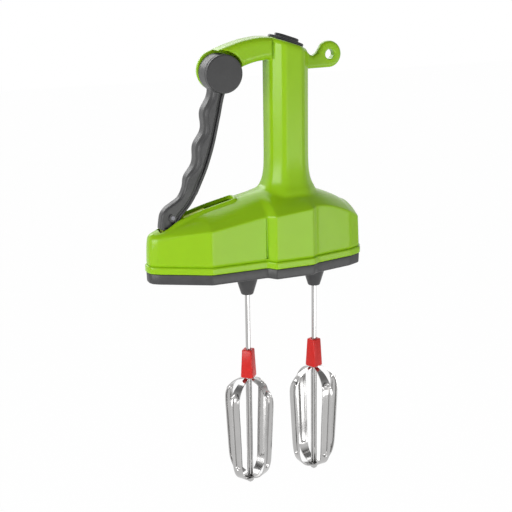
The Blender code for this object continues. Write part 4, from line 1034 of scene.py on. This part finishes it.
def world():
    """A white room with a dim ceiling, which gives the object only a soft fill."""
    made = bpy.data.worlds.new("studio")
    bpy.context.scene.world = made
    made.use_nodes = True
    tree = made.node_tree
    shine = tree.nodes["Background"]
    way = add(tree, "ShaderNodeTexCoord")
    parts = add(tree, "ShaderNodeSeparateXYZ")
    tree.links.new(way.outputs["Generated"], parts.inputs[0])
    ceiling = add(tree, "ShaderNodeMapRange", From_Min=CEILING_EDGE[0], From_Max=CEILING_EDGE[1],
                  To_Min=1.0, To_Max=CEILING)
    tree.links.new(parts.outputs["Z"], ceiling.inputs["Value"])
    tree.links.new(ceiling.outputs["Result"], shine.inputs["Color"])
    level = add(tree, "ShaderNodeMapRange", Value=background_ray(tree), To_Min=FILL, To_Max=1.0)
    tree.links.new(level.outputs["Result"], shine.inputs["Strength"])


def lamp(name, place, size, power):
    """A square soft light that faces the object."""
    light = bpy.data.lights.new(name, "AREA")
    light.shape = "RECTANGLE"
    light.size = size[0]
    light.size_y = size[1]
    light.energy = power
    thing = bpy.data.objects.new(name, light)
    way = Vector(LAMP_AIM) - Vector(place)
    thing.matrix_world = Matrix.Translation(place) @ way.to_track_quat("-Z", "Y").to_matrix().to_4x4()
    bpy.context.scene.collection.objects.link(thing)


def floor():
    """A pale floor far below the tips, because the blender hangs from a hand."""
    half = FLOOR_HALF
    square = [(-half, -half), (half, -half), (half, half), (-half, half)]
    bm = loft([flat(square, z) for z in (FLOOR_Z - FLOOR_THICK, FLOOR_Z)])
    mesh = bpy.data.meshes.new("floor")
    bmesh.ops.recalc_face_normals(bm, faces=bm.faces[:])
    bm.to_mesh(mesh)
    bm.free()
    pale = bpy.data.materials.new("pale_floor")
    tree, shader = node_group(pale)
    shader.inputs["Base Color"].default_value = (0.86, 0.86, 0.86, 1.0)
    shader.inputs["Roughness"].default_value = 0.9
    glow = add(tree, "ShaderNodeEmission", Color=(1.0, 1.0, 1.0, 1.0), Strength=1.0)
    mix = add(tree, "ShaderNodeMixShader")
    share = add(tree, "ShaderNodeMath", {"operation": "MULTIPLY"})
    share.inputs[1].default_value = FLOOR_GLOW
    tree.links.new(background_ray(tree), share.inputs[0])
    tree.links.new(share.outputs[0], mix.inputs[0])
    tree.links.new(shader.outputs[0], mix.inputs[1])
    tree.links.new(glow.outputs[0], mix.inputs[2])
    tree.links.new(mix.outputs[0], tree.nodes["Material Output"].inputs["Surface"])
    mesh.materials.append(pale)
    thing = bpy.data.objects.new("floor", mesh)
    bpy.context.scene.collection.objects.link(thing)


def studio():
    """Soft boxes: one at the left, a wide low one in front, and two above and behind."""
    lamp("key", (-1.15, -0.38, 0.24), (0.7, 0.6), 9.6)
    lamp("front", (0.42, -1.08, -0.28), (1.5, 0.45), 6.8)
    lamp("rim", (0.1, 0.7, 0.8), (0.9, 0.9), 6.4)
    lamp("edge", (-0.3, 0.9, 0.42), (0.3, 0.3), 1.2)


housing()
bead()
cover()
top_cap()
lever()
disc()
beater("left")
beater("right")
dress_nodes()
camera()
world()
studio()
floor()

bpy.context.scene.view_settings.view_transform = "Standard"
